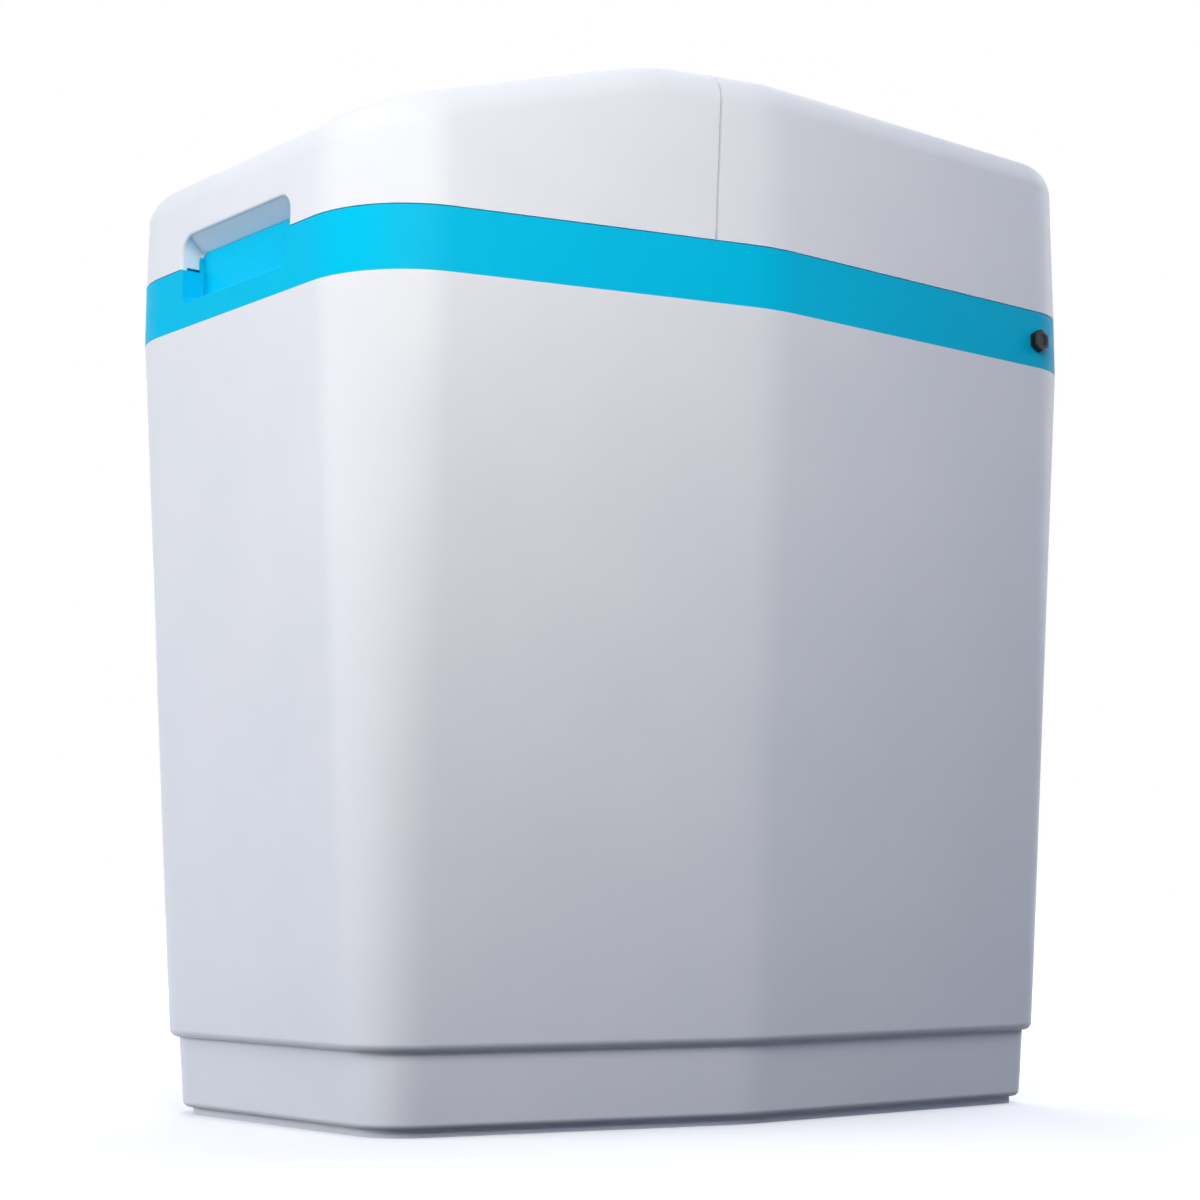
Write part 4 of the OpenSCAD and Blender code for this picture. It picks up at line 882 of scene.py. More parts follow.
@dataclass(frozen=True)
class Plan:
    """The outline of the cabinet from above: a narrow front that flares to the sides.

    A straight side that runs more than `slant` both ways is a flank, which is divided for the lid's slope.
    """

    half_front: float = 119.5
    half_rear: float = 178.0
    front: float = -228.0
    rear: float = 228.0
    flare_depth: float = 212.0
    front_round: float = 59.0
    side_round: float = 95.0
    rear_round: float = 40.0
    front_steps: int = 28
    side_steps: int = 10
    rear_steps: int = 24
    flank_cuts: int = 40
    slant: float = 1.0

    def corners(self) -> list[Corner]:
        """Works the corners out in order, going round from the front right.

        Returns:
            Three corners of the right side, then their mirror images.
        """
        flare = math.atan((self.half_rear - self.half_front) / self.flare_depth)
        front_x = self.half_front + self.front_round * (math.tan(flare) - 1 / math.cos(flare))
        side_y = self.front + self.flare_depth + self.side_round * math.tan(flare / 2)
        front = Vector((front_x, self.front + self.front_round, 0))
        side = Vector((self.half_rear - self.side_round, side_y, 0))
        rear = Vector((self.half_rear - self.rear_round, self.rear - self.rear_round, 0))
        right = [
            Corner(front, self.front_round, -QUARTER, QUARTER - flare, self.front_steps),
            Corner(side, self.side_round, -flare, flare, self.side_steps),
            Corner(rear, self.rear_round, 0.0, QUARTER, self.rear_steps),
        ]
        return right + [corner.mirrored() for corner in reversed(right)]

    def trace(self, bm: BMesh) -> list[BMEdge]:
        """Draws the outline at height 0 and notes its place and its outward way at each point.

        Args:
            bm: an empty mesh.

        Returns:
            The edges of the closed outline.
        """
        layers = bm.verts.layers.float_vector
        layers.new("outward")
        layers.new("start")
        outward, start = layers["outward"], layers["start"]
        ends: list[tuple[BMVert, BMVert]] = []
        for corner in self.corners():
            known = len(bm.verts)
            way = Vector((math.cos(corner.start), math.sin(corner.start), 0))
            begin = bm.verts.new(corner.centre + corner.radius * way)
            arc = bmesh.ops.spin(bm, geom=[begin], cent=corner.centre, axis=Z, angle=corner.sweep,
                                 steps=corner.steps)
            bm.verts.ensure_lookup_table()
            for vert in bm.verts[known:]:
                vert[outward] = (vert.co - corner.centre) / corner.radius
            ends.append((begin, next(g for g in arc["geom_last"] if isinstance(g, BMVert))))
        flanks = []
        for (_, leave), (meet, _) in zip(ends, ends[1:] + ends[:1]):
            edge = bm.edges.new((leave, meet))
            run = meet.co - leave.co
            if abs(run.x) > self.slant and abs(run.y) > self.slant:
                flanks.append(edge)
        bmesh.ops.subdivide_edges(bm, edges=flanks, cuts=self.flank_cuts)
        for vert in bm.verts:
            vert[start] = vert.co
        return list(bm.edges)


@dataclass
class Shell:
    """A closed wall that follows the outline through a chain of rings."""

    steps: Sequence[Step]
    ringed: bool = False
    plan: Plan = field(default_factory=Plan)
    roof: Roof = field(default_factory=Roof)
    round_segments: int = 8

    def build(self) -> BMesh:
        """Climbs from ring to ring, then joins the last ring to the first or caps both.

        Returns:
            A closed mesh in mm.
        """
        bm = bmesh.new()
        ring = first = self.plan.trace(bm)
        layers = bm.verts.layers.float_vector
        outward, start = layers["outward"], layers["start"]
        rounds: list[tuple[list[BMEdge], float]] = []
        chain = [*self.steps, self.steps[0]] if self.ringed else self.steps
        for count, step in enumerate(chain):
            if count:
                grown = bmesh.ops.extrude_edge_only(bm, edges=ring)["geom"]
                ring = [g for g in grown if isinstance(g, BMEdge)]
            for vert in {v for e in ring for v in e.verts}:
                place = Vector(vert[start]) - step.inset * Vector(vert[outward])
                place.z = self.roof.height(place.y) - step.height if step.on_roof else step.height
                vert.co = place
            if step.round > 0:
                rounds.append((ring, step.round))
        if self.ringed:
            bmesh.ops.remove_doubles(bm, verts=bm.verts, dist=MERGE)
        else:
            for end in (first, ring):
                halves = [e for e in end if e.verts[0].co.x * e.verts[1].co.x > 0]
                bmesh.ops.bridge_loops(bm, edges=halves)
        for edges, radius in rounds:
            soften(bm, edges, radius, self.round_segments)
        bmesh.ops.recalc_face_normals(bm, faces=bm.faces)
        return bm


def arc_steps(start: float, drop: float, radius: float, count: int) -> list[Step]:
    """Makes the rings of a rounded roof edge, from the wall up to the roof.

    Args:
        start: inset of the wall, mm.
        drop: depth of the surface under the roof, mm.
        radius: of the rounded edge, mm.
        count: rings in the quarter turn.

    Returns:
        The rings, wall first.
    """
    turns = [QUARTER * i / count for i in range(count + 1)]
    return [Step(start + radius * (1 - math.cos(a)), drop + radius * (1 - math.sin(a)), True) for a in turns]


# Sub-assemblies, with sizes in millimetres and angles in radians


class Assembly(ABC):
    """A group of pieces that are built together."""

    @abstractmethod
    def build(self) -> list[Piece]:
        """Models the pieces of the group."""


@dataclass
class Cabinet(Assembly):
    """The tapered white cabinet on its stepped foot."""

    rim: float = 408.0
    wall: float = 4.0
    foot_height: float = 40.0
    foot_inset: float = 26.8
    toe_inset: float = 29.64
    toe: float = 4.0
    base_inset: float = 34.7
    belly_inset: float = 21.85
    belly_round: float = 4.2
    toe_round: float = 3.0
    floor: float = 10.0

    def build(self) -> list[Piece]:
        """Builds the cabinet from its floor up the inside and down the outside.

        Returns:
            The cabinet.
        """
        tall = self.rim - self.foot_height
        belly = self.belly_inset * (tall - self.belly_round) / tall
        steps = [
            Step(self.toe_inset + self.wall, self.floor), Step(self.foot_inset + self.wall, self.foot_height),
            Step(belly + self.wall, self.foot_height + self.belly_round), Step(self.wall, self.rim),
            Step(0.0, self.rim), Step(self.belly_inset, self.foot_height, round=self.belly_round),
            Step(self.foot_inset, self.foot_height), Step(self.toe_inset, self.toe, round=self.toe_round),
            Step(self.base_inset, self.toe), Step(self.base_inset, 0.0),
        ]
        return [Piece("cabinet_shell", Shell(steps).build(), ("cabinet",), edge=0.5)]


@dataclass(frozen=True)
class Pocket:
    """The finger pocket at the front: an arch in the lid over a recess in the band."""

    width: float = 105.0
    height: float = 17.5
    corner: float = 9.0
    depth: float = 12.5
    wall: float = 2.6
    seat: float = 440.0
    front: float = Plan.front
    recess_low: float = 421.5
    recess_corner: float = 5.0
    rear_top: float = 450.5
    rear_wall: float = 3.0
    play: float = 0.6
    rim_round: float = 2.0
    recess_round: float = 4.0
    recess_mouth: float = 3.5
    recess_side: float = 1.5
    mouth_segments: int = 8
    # where the hood starts over the seat and behind the front
    hood_foot: float = 2.0
    hood_front: float = 1.5
    # the cheeks beside the hood: thickness, start behind the front, and root under the seat
    cheek: float = 2.4
    cheek_front: float = 6.0
    cheek_root: float = 2.0
    # material under the recess, and how far its rear wall reaches into it
    floor: float = 3.0
    wall_root: float = 2.0
    # how far the hollow and the rear wall start under the seat
    sink: float = 4.0
    # how far cutters run past the surfaces that they open; the door does so before and behind the back wall
    past: float = 5.0
    clear: float = 1.0
    over: float = 9.0
    door: Pair = (6.0, 10.0)
    # what counts as an edge of the mouth or of the recess's back
    rim_foot: float = 1.0
    near: float = 0.5
    hair: float = 0.05
    margin: float = 0.1
    crease: float = math.radians(40.0)

    @property
    def back(self) -> float:
        """The depth of the pocket's back wall."""
        return self.front + self.depth

    def rim(self, bm: BMesh, low: float, high: float) -> list[BMEdge]:
        """Finds the edges round the mouth of the pocket.

        Args:
            bm: the lid or the band, with the pocket already cut.
            low: height above which an edge has to reach, mm.
            high: height that no edge goes over, mm.

        Returns:
            The sharp edges of the mouth.
        """
        half = self.width / 2 + self.hair
        mouth = self.front + self.near
        found = []
        for edge in bm.edges:
            ends = [v.co for v in edge.verts]
            inside = all(abs(p.x) < half and p.y < mouth and p.z < high for p in ends)
            if inside and max(p.z for p in ends) > low and edge.calc_face_angle(0.0) > self.crease:
                found.append(edge)
        return found

    def cut_lid(self, bm: BMesh) -> None:
        """Adds the hood to the lid, hollows it to a sloped ceiling and opens its back for the recess.

        Args:
            bm: the lid.
        """
        top = self.seat + self.height
        hood = arch(self.width + 2 * self.wall, (self.seat + self.hood_foot, top + self.wall),
                    self.corner + self.wall, (self.front + self.hood_front, self.back + self.wall))
        combine(bm, hood, Combine.ADD)
        hollow = arch(self.width, (self.seat - self.sink, top), self.corner,
                      (self.front - self.past, self.back))
        slope = Vector((0, top - self.rear_top, self.depth - self.rim_round))
        cut_flat(hollow, (0, self.back, self.rear_top), slope, keep_ahead=False)
        combine(bm, hollow, Combine.CUT)
        gap = self.rear_top + self.play / 2
        doorway = arch(self.width, (self.seat - self.past, gap), self.recess_corner + self.play,
                       (self.back - self.door[0], self.back + self.door[1]))
        combine(bm, doorway, Combine.CUT)
        soften(bm, self.rim(bm, self.seat + self.rim_foot, top + self.margin), self.rim_round)

    def cut_band(self, bm: BMesh, lip_top: float) -> None:
        """Builds the recess, its wall and its cheeks into the band.

        Args:
            bm: the band.
            lip_top: height of the band's upstand, mm.
        """
        half = self.width / 2
        gap = half + self.wall + self.play
        outer = gap + self.cheek
        rear = self.back + self.rear_wall
        cheek_front = self.front + self.cheek_front
        room = block((-gap, self.front - self.clear, self.seat), (gap, rear, lip_top + self.past))
        combine(bm, room, Combine.CUT)
        body = block((-outer, cheek_front, self.recess_low - self.floor), (outer, rear, self.seat))
        combine(bm, body, Combine.ADD)
        wall = arch(2 * (half - self.play), (self.seat - self.sink, self.rear_top), self.recess_corner,
                    (self.back - self.wall_root, rear))
        combine(bm, wall, Combine.ADD)
        for side in (-1, 1):
            near, far = sorted((side * gap, side * outer))
            cheek = block((near, cheek_front, self.seat - self.cheek_root), (far, rear, lip_top))
            combine(bm, cheek, Combine.ADD)
        recess = arch(self.width - 2 * self.recess_side, (self.recess_low, lip_top + self.over),
                      self.recess_corner, (self.front - self.past, self.back), round_top=False)
        deep = self.back - self.margin
        inner = [e for e in recess.edges if all(v.co.y > deep and v.co.z < lip_top for v in e.verts)]
        soften(recess, inner, self.recess_round)
        combine(bm, recess, Combine.CUT)
        soften(bm, self.rim(bm, 0.0, self.seat + self.margin), self.recess_mouth, self.mouth_segments)


@dataclass(frozen=True)
class Ports:
    """What passes the back of the cover: two pipes, the drain and the power inlet."""

    height: float = 454.0
    pipe_x: float = 26.0
    drain_x: float = -66.0
    power_x: float = 70.0
    pipe_slot: float = 16.4
    drain_slot: float = 9.5
    power_hole: float = 6.15
    power_gap: float = 10.24

    def slots(self) -> list[Pair]:
        """Returns the place across and the radius of each slot in the cover."""
        pipes = [(side * self.pipe_x, self.pipe_slot) for side in (-1, 1)]
        return [*pipes, (self.drain_x, self.drain_slot)]


@dataclass
class Collar(Assembly):
    """The blue band that closes the cabinet and guides the lid."""

    low: float = Cabinet.rim
    high: float = Pocket.seat
    depth: float = 7.5
    lip: float = 4.0
    lip_wall: float = 3.0
    lip_top: float = 449.5
    tongue: float = 4.98
    tongue_wall: float = 3.0
    tongue_low: float = 394.0
    tongue_top: float = 411.0
    ledge: float = 19.0
    ledge_low: float = 405.0
    ledge_top: float = 410.0
    ledge_front: float = -36.0
    ledge_root: float = 1.0
    rear: float = Plan.rear
    plug_place: Triple = (Plan.half_rear, 187.0, 423.0)
    plug_hole: float = 4.2
    plug_seat: float = 8.2
    plug_pad: float = 1.2
    # how far cutters run past the band at the back and along the plug's hole, and the height they reach
    past: float = 5.0
    hole_past: float = 1.0
    over: float = 470.0
    # the room of the salt bin, which takes the front of the ledge away: half its width, foot and top
    bin_room: Triple = (300.0, 300.0, 500.0)
    pocket: Pocket = field(default_factory=Pocket)
    ports: Ports = field(default_factory=Ports)

    def build(self) -> list[Piece]:
        """Builds the band with its lip, tongue and ledge, then the recess at the front.

        Returns:
            The band.
        """
        inner = self.lip + self.lip_wall
        behind = self.tongue + self.tongue_wall
        steps = [
            Step(0.0, self.low), Step(0.0, self.high), Step(self.lip, self.high),
            Step(self.lip, self.lip_top), Step(inner, self.lip_top), Step(inner, self.high),
            Step(self.depth, self.high), Step(self.depth, self.tongue_top), Step(behind, self.tongue_top),
            Step(behind, self.tongue_low), Step(self.tongue, self.tongue_low), Step(self.tongue, self.low),
        ]
        bm = Shell(steps, ringed=True).build()
        combine(bm, self.shelf(behind), Combine.ADD)
        self.pocket.cut_band(bm, self.lip_top)
        front, rear = self.rear - self.ledge, self.rear + self.past
        for x, reach in [*self.ports.slots(), (self.ports.power_x, self.ports.power_gap)]:
            combine(bm, block((x - reach, front, self.high), (x + reach, rear, self.over)), Combine.CUT)
        back = self.depth + self.plug_pad
        combine(bm, rod(self.plug_seat, (-back, -self.depth / 2), self.plug_place, Axis.X), Combine.ADD)
        hole = rod(self.plug_hole, (-back - self.hole_past, self.hole_past), self.plug_place, Axis.X)
        combine(bm, hole, Combine.CUT)
        return [Piece("band", bm, ("collar",), edge=0.5)]

    def shelf(self, outer: float) -> BMesh:
        """Builds the ledge that carries the deck, behind the salt bin only.

        Args:
            outer: inset of the wall that the ledge grows from, mm.

        Returns:
            The closed ledge.
        """
        root = outer - self.ledge_root
        steps = [Step(root, self.ledge_low), Step(root, self.ledge_top), Step(self.ledge, self.ledge_top),
                 Step(self.ledge, self.ledge_low)]
        bm = Shell(steps, ringed=True).build()
        half, foot, top = self.bin_room
        combine(bm, block((-half, -half, foot), (half, self.ledge_front, top)), Combine.CUT)
        return bm


@dataclass(frozen=True)
class Hinge:
    """The two hinges at the seam, on steel pins in shared barrels."""

    rise: float = 1.0
    axis_y: float = -44.34
    axis_z: float = Roof.top + rise
    spread: float = 85.0
    radius: float = 3.5
    lid_length: float = 24.0
    cover_length: float = 12.0
    gap: float = 0.5
    room: float = 0.6
    bore: float = 1.8
    fairing: float = 14.0
    sink: float = 2.0
    trim: float = 0.05
    steps: int = 48

    @property
    def lid_places(self) -> list[float]:
        """Middles of the lid's barrels."""
        return [-self.spread, self.spread]

    def barrels(self, places: Sequence[float], length: float, way: int) -> BMesh:
        """Makes barrels with fairings that run out on the roof.

        Args:
            places: their middles along the axis, mm.
            length: of one barrel, mm.
            way: 1 for fairings to the back, -1 to the front.

        Returns:
            The closed barrels.
        """
        run = (-length / 2, length / 2)
        reach = self.axis_y + way * self.fairing
        foot = self.axis_z - self.rise - self.sink
        outline = [(self.axis_y, self.axis_z + self.radius), (reach, self.axis_z - self.rise), (reach, foot),
                   (self.axis_y, foot)]
        bm = bar(outline, (run[0] + self.trim, run[1] - self.trim))
        combine(bm, rod(self.radius, run, (0, self.axis_y, self.axis_z), Axis.X), Combine.ADD)
        return scatter(bm, [Matrix.Translation((x, 0, 0)) for x in places])

    def hollows(self, half: float, inner: float, outer: float) -> BMesh:
        """Makes the hollow of each hinge as one stepped rod.

        Args:
            half: half the length of its middle step, mm.
            inner: radius of the middle step, mm.
            outer: radius of the steps on both sides, mm.

        Returns:
            The closed rods.
        """
        end = self.lid_length / 2 + self.cover_length + 2 * self.gap
        profile = [(0.0, -end), (outer, -end), (outer, -half), (inner, -half), (inner, half), (outer, half),
                   (outer, end), (0.0, end)]
        bm = lathe(profile, (0, self.axis_y, self.axis_z), Axis.X, self.steps)
        return scatter(bm, [Matrix.Translation((x, 0, 0)) for x in self.lid_places])

    def fit_lid(self, bm: BMesh) -> None:
        """Gives the lid its barrels, their bore and room for the cover's barrels.

        Args:
            bm: the lid.
        """
        combine(bm, self.barrels(self.lid_places, self.lid_length, -1), Combine.ADD)
        half = self.lid_length / 2 - self.trim
        combine(bm, self.hollows(half, self.bore, self.radius + self.room), Combine.CUT)

    def fit_cover(self, bm: BMesh) -> None:
        """Gives the cover its barrels, their bore and room for the lid's barrels.

        Args:
            bm: the cover.
        """
        reach = (self.lid_length + self.cover_length) / 2 + self.gap
        places = [x + side * reach for x in self.lid_places for side in (-1, 1)]
        combine(bm, self.barrels(places, self.cover_length, 1), Combine.ADD)
        half = self.lid_length / 2 + self.gap + self.trim
        combine(bm, self.hollows(half, self.radius + self.room, self.bore), Combine.CUT)


@dataclass
class LidShell(Assembly):
    """The moulded top of the softener, parted by a leaning seam into a lid and a rear cover."""

    low: float = 440.5
    draft: float = 0.6
    round: float = 18.0
    wall: float = 3.4
    seam: float = -49.0
    seam_foot: float = Pocket.seat
    lean: float = math.radians(2.9)
    gap: float = 0.6
    inner_steps: int = 10
    outer_steps: int = 14
    hinge: Hinge = field(default_factory=Hinge)

    def solid(self, outer: float, inner: float, low: float) -> BMesh:
        """Makes the whole shell between two depths under the outer surface.

        Args:
            outer: depth of the outside, mm; 0 is the surface itself.
            inner: depth of the inside, mm.
            low: height of the lower rim, mm.

        Returns:
            The closed shell.
        """
        under = arc_steps(self.draft + inner, inner, self.round - inner, self.inner_steps)
        above = arc_steps(self.draft + outer, outer, self.round - outer, self.outer_steps)
        return Shell([*reversed(under), Step(inner, low), Step(outer, low), *above]).build()

    def part(self, bm: BMesh, offset: float, keep_front: bool) -> None:
        """Cuts the shell along the seam and closes the cut.

        Args:
            bm: the shell.
            offset: distance of the cut behind the seam, mm.
            keep_front: keep what is in front of the cut, else what is behind.
        """
        across = Vector((0, math.cos(self.lean), -math.sin(self.lean)))
        spot = Vector((0, self.seam, self.seam_foot)) + offset * across
        cut_flat(bm, spot, across, keep_ahead=not keep_front)


@dataclass
class SaltLid(LidShell):
    """The hinged front lid with its finger pocket."""

    pocket: Pocket = field(default_factory=Pocket)

    def build(self) -> list[Piece]:
        """Builds the lid shell, its pocket and its hinge barrels.

        Returns:
            The lid.
        """
        bm = self.solid(0.0, self.wall, self.low)
        self.part(bm, -self.gap, keep_front=True)
        self.pocket.cut_lid(bm)
        self.hinge.fit_lid(bm)
        return [Piece("lid_shell", bm, ("front_lid",), edge=0.6)]


@dataclass
class RearCover(LidShell):
    """The fixed rear cover over the valve, open at the back for the pipes."""

    lap: float = 4.0
    lap_wall: float = 2.4
    lap_reach: float = 6.0
    lap_low: float = 450.5
    lap_root: float = 1.0
    lap_sink: float = 0.5
    rear: float = Plan.rear
    ledge: float = Collar.ledge
    past: float = 10.0
    slot_low: float = 430.0
    ports: Ports = field(default_factory=Ports)

    def build(self) -> list[Piece]:
        """Builds the cover, the lap under the lid, the openings for the pipes and the barrels.

        Returns:
            The cover.
        """
        bm = self.solid(0.0, self.wall, self.low)
        self.part(bm, self.gap, keep_front=False)
        lap = self.strip(self.lap, -self.lap_reach)
        combine(lap, self.strip(self.wall - self.lap_sink, self.lap_root), Combine.ADD)
        combine(bm, lap, Combine.ADD)
        ports = self.ports
        front, back = self.rear - self.ledge, self.rear + self.past
        for x, radius in ports.slots():
            combine(bm, rod(radius, (front, back), (x, 0, ports.height), Axis.Y), Combine.CUT)
            slot = block((x - radius, front, self.slot_low), (x + radius, back, ports.height))
            combine(bm, slot, Combine.CUT)
        inlet = rod(ports.power_hole, (front, back), (ports.power_x, 0, ports.height), Axis.Y)
        combine(bm, inlet, Combine.CUT)
        self.hinge.fit_cover(bm)
        return [Piece("cover_shell", bm, ("rear_cover",), edge=0.6)]

    def strip(self, outer: float, start: float) -> BMesh:
        """Makes a strip of the lap, up to the end of the lap.

        Args:
            outer: depth of its outside under the outer surface, mm.
            start: where it starts, behind the seam, mm.

        Returns:
            The closed strip.
        """
        bm = self.solid(outer, self.lap + self.lap_wall, self.lap_low)
        self.part(bm, start, keep_front=False)
        self.part(bm, self.lap_reach, keep_front=True)
        return bm


@dataclass
class OverflowPlug(Assembly):
    """The black hexagon plug that closes the overflow hole in the band."""

    place: Triple = Collar.plug_place
    stand: float = 0.05
    across_flats: float = 11.2
    head: float = 4.4
    chamfer: float = 0.9
    chamfer_segments: int = 3
    core: float = 3.2
    core_depth: float = 0.7
    core_past: float = 1.0
    shank: float = 4.0
    shank_root: float = 0.5
    reach: float = 15.2
    margin: float = 0.1

    def build(self) -> list[Piece]:
        """Builds the chamfered head with its cored face and the shank.

        Returns:
            The plug.
        """
        bm = bmesh.new()
        turn = Matrix.Rotation(math.pi / 6, 4, "Z")
        radius = self.across_flats / math.sqrt(3)
        bmesh.ops.create_circle(bm, cap_ends=True, segments=6, radius=radius, matrix=turn)
        draw_out(bm, Z * self.head)
        top = [e for e in bm.edges if all(v.co.z > self.head - self.margin for v in e.verts)]
        soften(bm, top, self.chamfer, self.chamfer_segments)
        core = rod(self.core, (self.head - self.core_depth, self.head + self.core_past), (0, 0, 0), Axis.Z)
        combine(bm, core, Combine.CUT)
        combine(bm, rod(self.shank, (-self.reach, self.shank_root), (0, 0, 0), Axis.Z), Combine.ADD)
        seat = Vector(self.place) + X * self.stand
        bmesh.ops.transform(bm, matrix=Matrix.Translation(seat) @ Axis.X.value, verts=bm.verts)
        return [Piece("plug", bm, ("overflow_plug",), edge=0.3)]


@dataclass
class Pipes(Assembly):
    """The two threaded water pipes and the barbed drain."""

    inner_end: float = 124.1
    rim: float = 144.1
    rim_width: float = 3.0
    rim_radius: float = 17.0
    pipe: float = 10.0
    bore: float = 8.0
    flange: Pair = (229.0, 234.0)
    flange_radius: float = 14.8
    end: float = 252.0
    # how far the mouth is opened, along the bore and across, and the outer chamfer of the end
    mouth: Pair = (1.0, 0.8)
    end_chamfer: float = 0.4
    # the thread: its crest and pitch, where it starts and stops, one flank and the flat of the crest
    crest: float = 13.2
    thread_depth: float = 1.16
    pitch: float = 1.814
    lead: float = 0.5
    run_out: float = 1.0
    flank: float = 0.62
    flat: float = 0.3
    drain: float = 6.5
    drain_collar: float = 8.0
    drain_bore: float = 4.2
    drain_start: float = 88.1
    drain_end: float = 250.0
    drain_flange: float = 230.0
    # the barbs: their pitch and depth, where the root ends and the crest starts, and the taper to the tip
    barb: float = 4.2
    barb_depth: float = 1.0
    barb_root: float = 0.3
    barb_crest: float = 0.4
    barb_taper: float = 0.4
    # the arm to the valve: the end of its neck and of its collar, from the elbow
    arm: Pair = (32.0, 21.0)
    arm_trim: float = 0.01
    bore_past: float = 1.0
    steps: int = 72
    ball_steps: int = 48
    ports: Ports = field(default_factory=Ports)

    def build(self) -> list[Piece]:
        """Builds both pipes and the drain elbow.

        Returns:
            The inlet, the outlet and the drain.
        """
        pieces = []
        for name, side in (("inlet", 1), ("outlet", -1)):
            place = (side * self.ports.pipe_x, 0, self.ports.height)
            bm = lathe(self.profile(), place, Axis.Y, self.steps)
            pieces.append(Piece(f"{name}_thread", bm, (f"{name}_pipe",), edge=0.25))
        return [*pieces, Piece("drain_barb", self.elbow(), ("drain_elbow",), edge=0.25)]

    def profile(self) -> list[Pair]:
        """Draws the section of a pipe, with its thread as rings.

        Returns:
            Radii and heights along the pipe, mm, back to the first point.
        """
        root = self.crest - self.thread_depth
        low, high = self.flange
        deep, wide = self.mouth
        line = [(self.bore, self.inner_end), (self.bore, self.end - deep), (self.bore + wide, self.end),
                (root - self.end_chamfer, self.end)]
        turns = int((self.end - high - self.run_out) / self.pitch)
        for i in range(turns):
            start = self.end - self.lead - i * self.pitch
            top = start - self.flank
            line += [(root, start), (self.crest, top), (self.crest, top - self.flat),
                     (root, top - self.flat - self.flank)]
        line += [(root, high), (self.flange_radius, high), (self.flange_radius, low), (self.pipe, low)]
        rim_end = self.rim + self.rim_width
        line += [(self.pipe, rim_end), (self.rim_radius, rim_end), (self.rim_radius, self.rim),
                 (self.pipe, self.rim)]
        return [*line, (self.pipe, self.inner_end), line[0]]

    def elbow(self) -> BMesh:
        """Builds the drain: a barbed spigot, an elbow and the arm to the valve.

        Returns:
            The closed drain, with its bore.
        """
        x, z = self.ports.drain_x, self.ports.height
        neck = self.drain - self.barb_depth
        line = [(0.0, self.drain_start), (self.drain_collar, self.drain_start),
                (self.drain_collar, self.drain_flange), (neck, self.drain_flange)]
        count = int((self.drain_end - self.drain_flange) / self.barb)
        for i in reversed(range(count)):
            tip = self.drain_end - i * self.barb
            foot = tip - self.barb
            line += [(neck, foot + self.barb_root), (self.drain, foot + self.barb_crest),
                     (neck - self.barb_taper, tip)]
        bm = lathe([*line, (0.0, self.drain_end)], (x, 0, z), Axis.Y)
        corner = (x, self.drain_start, z)
        ball = bmesh.new()
        bmesh.ops.create_uvsphere(ball, u_segments=self.ball_steps, v_segments=self.ball_steps // 2,
                                  radius=self.drain_collar, matrix=Matrix.Translation(corner))
        combine(bm, ball, Combine.ADD)
        reach, collar = self.arm
        combine(bm, rod(self.drain_collar - self.arm_trim, (0.0, collar), corner, Axis.X), Combine.ADD)
        combine(bm, rod(neck, (0.0, reach), corner, Axis.X), Combine.ADD)
        combine(bm, rod(self.drain_bore, (0.0, reach + self.bore_past), corner, Axis.X), Combine.CUT)
        run = (self.drain_start, self.drain_end + self.bore_past)
        combine(bm, rod(self.drain_bore, run, (x, 0, z), Axis.Y), Combine.CUT)
        return bm


@dataclass
class Screws(Assembly):
    """Pan-head screws with a cross recess, in the cover, the deck and the panel."""

    head: float = 3.8
    rise: float = 2.4
    shank: float = 1.9
    slot: float = 0.9
    slot_length: float = 4.4
    slot_depth: float = 1.3
    slot_past: float = 1.0
    # the domed head, in shares of its radius and its rise
    dome: tuple[Pair, ...] = ((1.0, 0.3), (0.9, 0.65), (0.66, 0.9), (0.35, 1.0))
    # the tip of the shank: its share of the radius, and its length
    tip: Pair = (0.5, 1.0)
    steps: int = 40
    # where each set is, as half its width and the rest of its place, and how long its screws are
    cover_x: float = 110.0
    cover_row: Pair = (228.05, 445.5)
    cover_length: float = 9.0
    deck_x: float = 164.0
    deck_y: Pair = (20.0, 158.0)
    deck_top: float = 414.0
    deck_length: float = 9.0
    panel_x: float = 60.0
    panel_row: Pair = (1.0, 417.0)
    panel_length: float = 7.0

    def one(self, length: float) -> BMesh:
        """Models a screw that stands on Z = 0 with its head up.

        Args:
            length: of its shank, mm.

        Returns:
            The closed screw.
        """
        share, taper = self.tip
        dome = [(wide * self.head, high * self.rise) for wide, high in self.dome]
        profile = [(0.0, -length), (share * self.shank, -length), (self.shank, taper - length),
                   (self.shank, 0.0), (self.head, 0.0), *dome, (0.0, self.rise)]
        bm = lathe(profile, (0, 0, 0), Axis.Z, self.steps)
        half, wide = self.slot_length / 2, self.slot / 2
        low, high = self.rise - self.slot_depth, self.rise + self.slot_past
        for x, y in ((half, wide), (wide, half)):
            combine(bm, block((-x, -y, low), (x, y, high)), Combine.CUT)
        return bm

    def build(self) -> list[Piece]:
        """Builds the three sets of screws.

        Returns:
            One piece for each set.
        """
        sides = (-1, 1)
        cover = [Matrix.Translation((side * self.cover_x, *self.cover_row)) @ Axis.Y.value for side in sides]
        deck = [Matrix.Translation((side * self.deck_x, y, self.deck_top))
                for side in sides for y in self.deck_y]
        panel = [Matrix.Translation((side * self.panel_x, *self.panel_row)) for side in sides]
        sets = (("cover", self.cover_length, cover), ("deck", self.deck_length, deck),
                ("panel", self.panel_length, panel))
        return [Piece(f"{name}_screw_set", scatter(self.one(length), places), (f"{name}_screws",), edge=0.2)
                for name, length, places in sets]


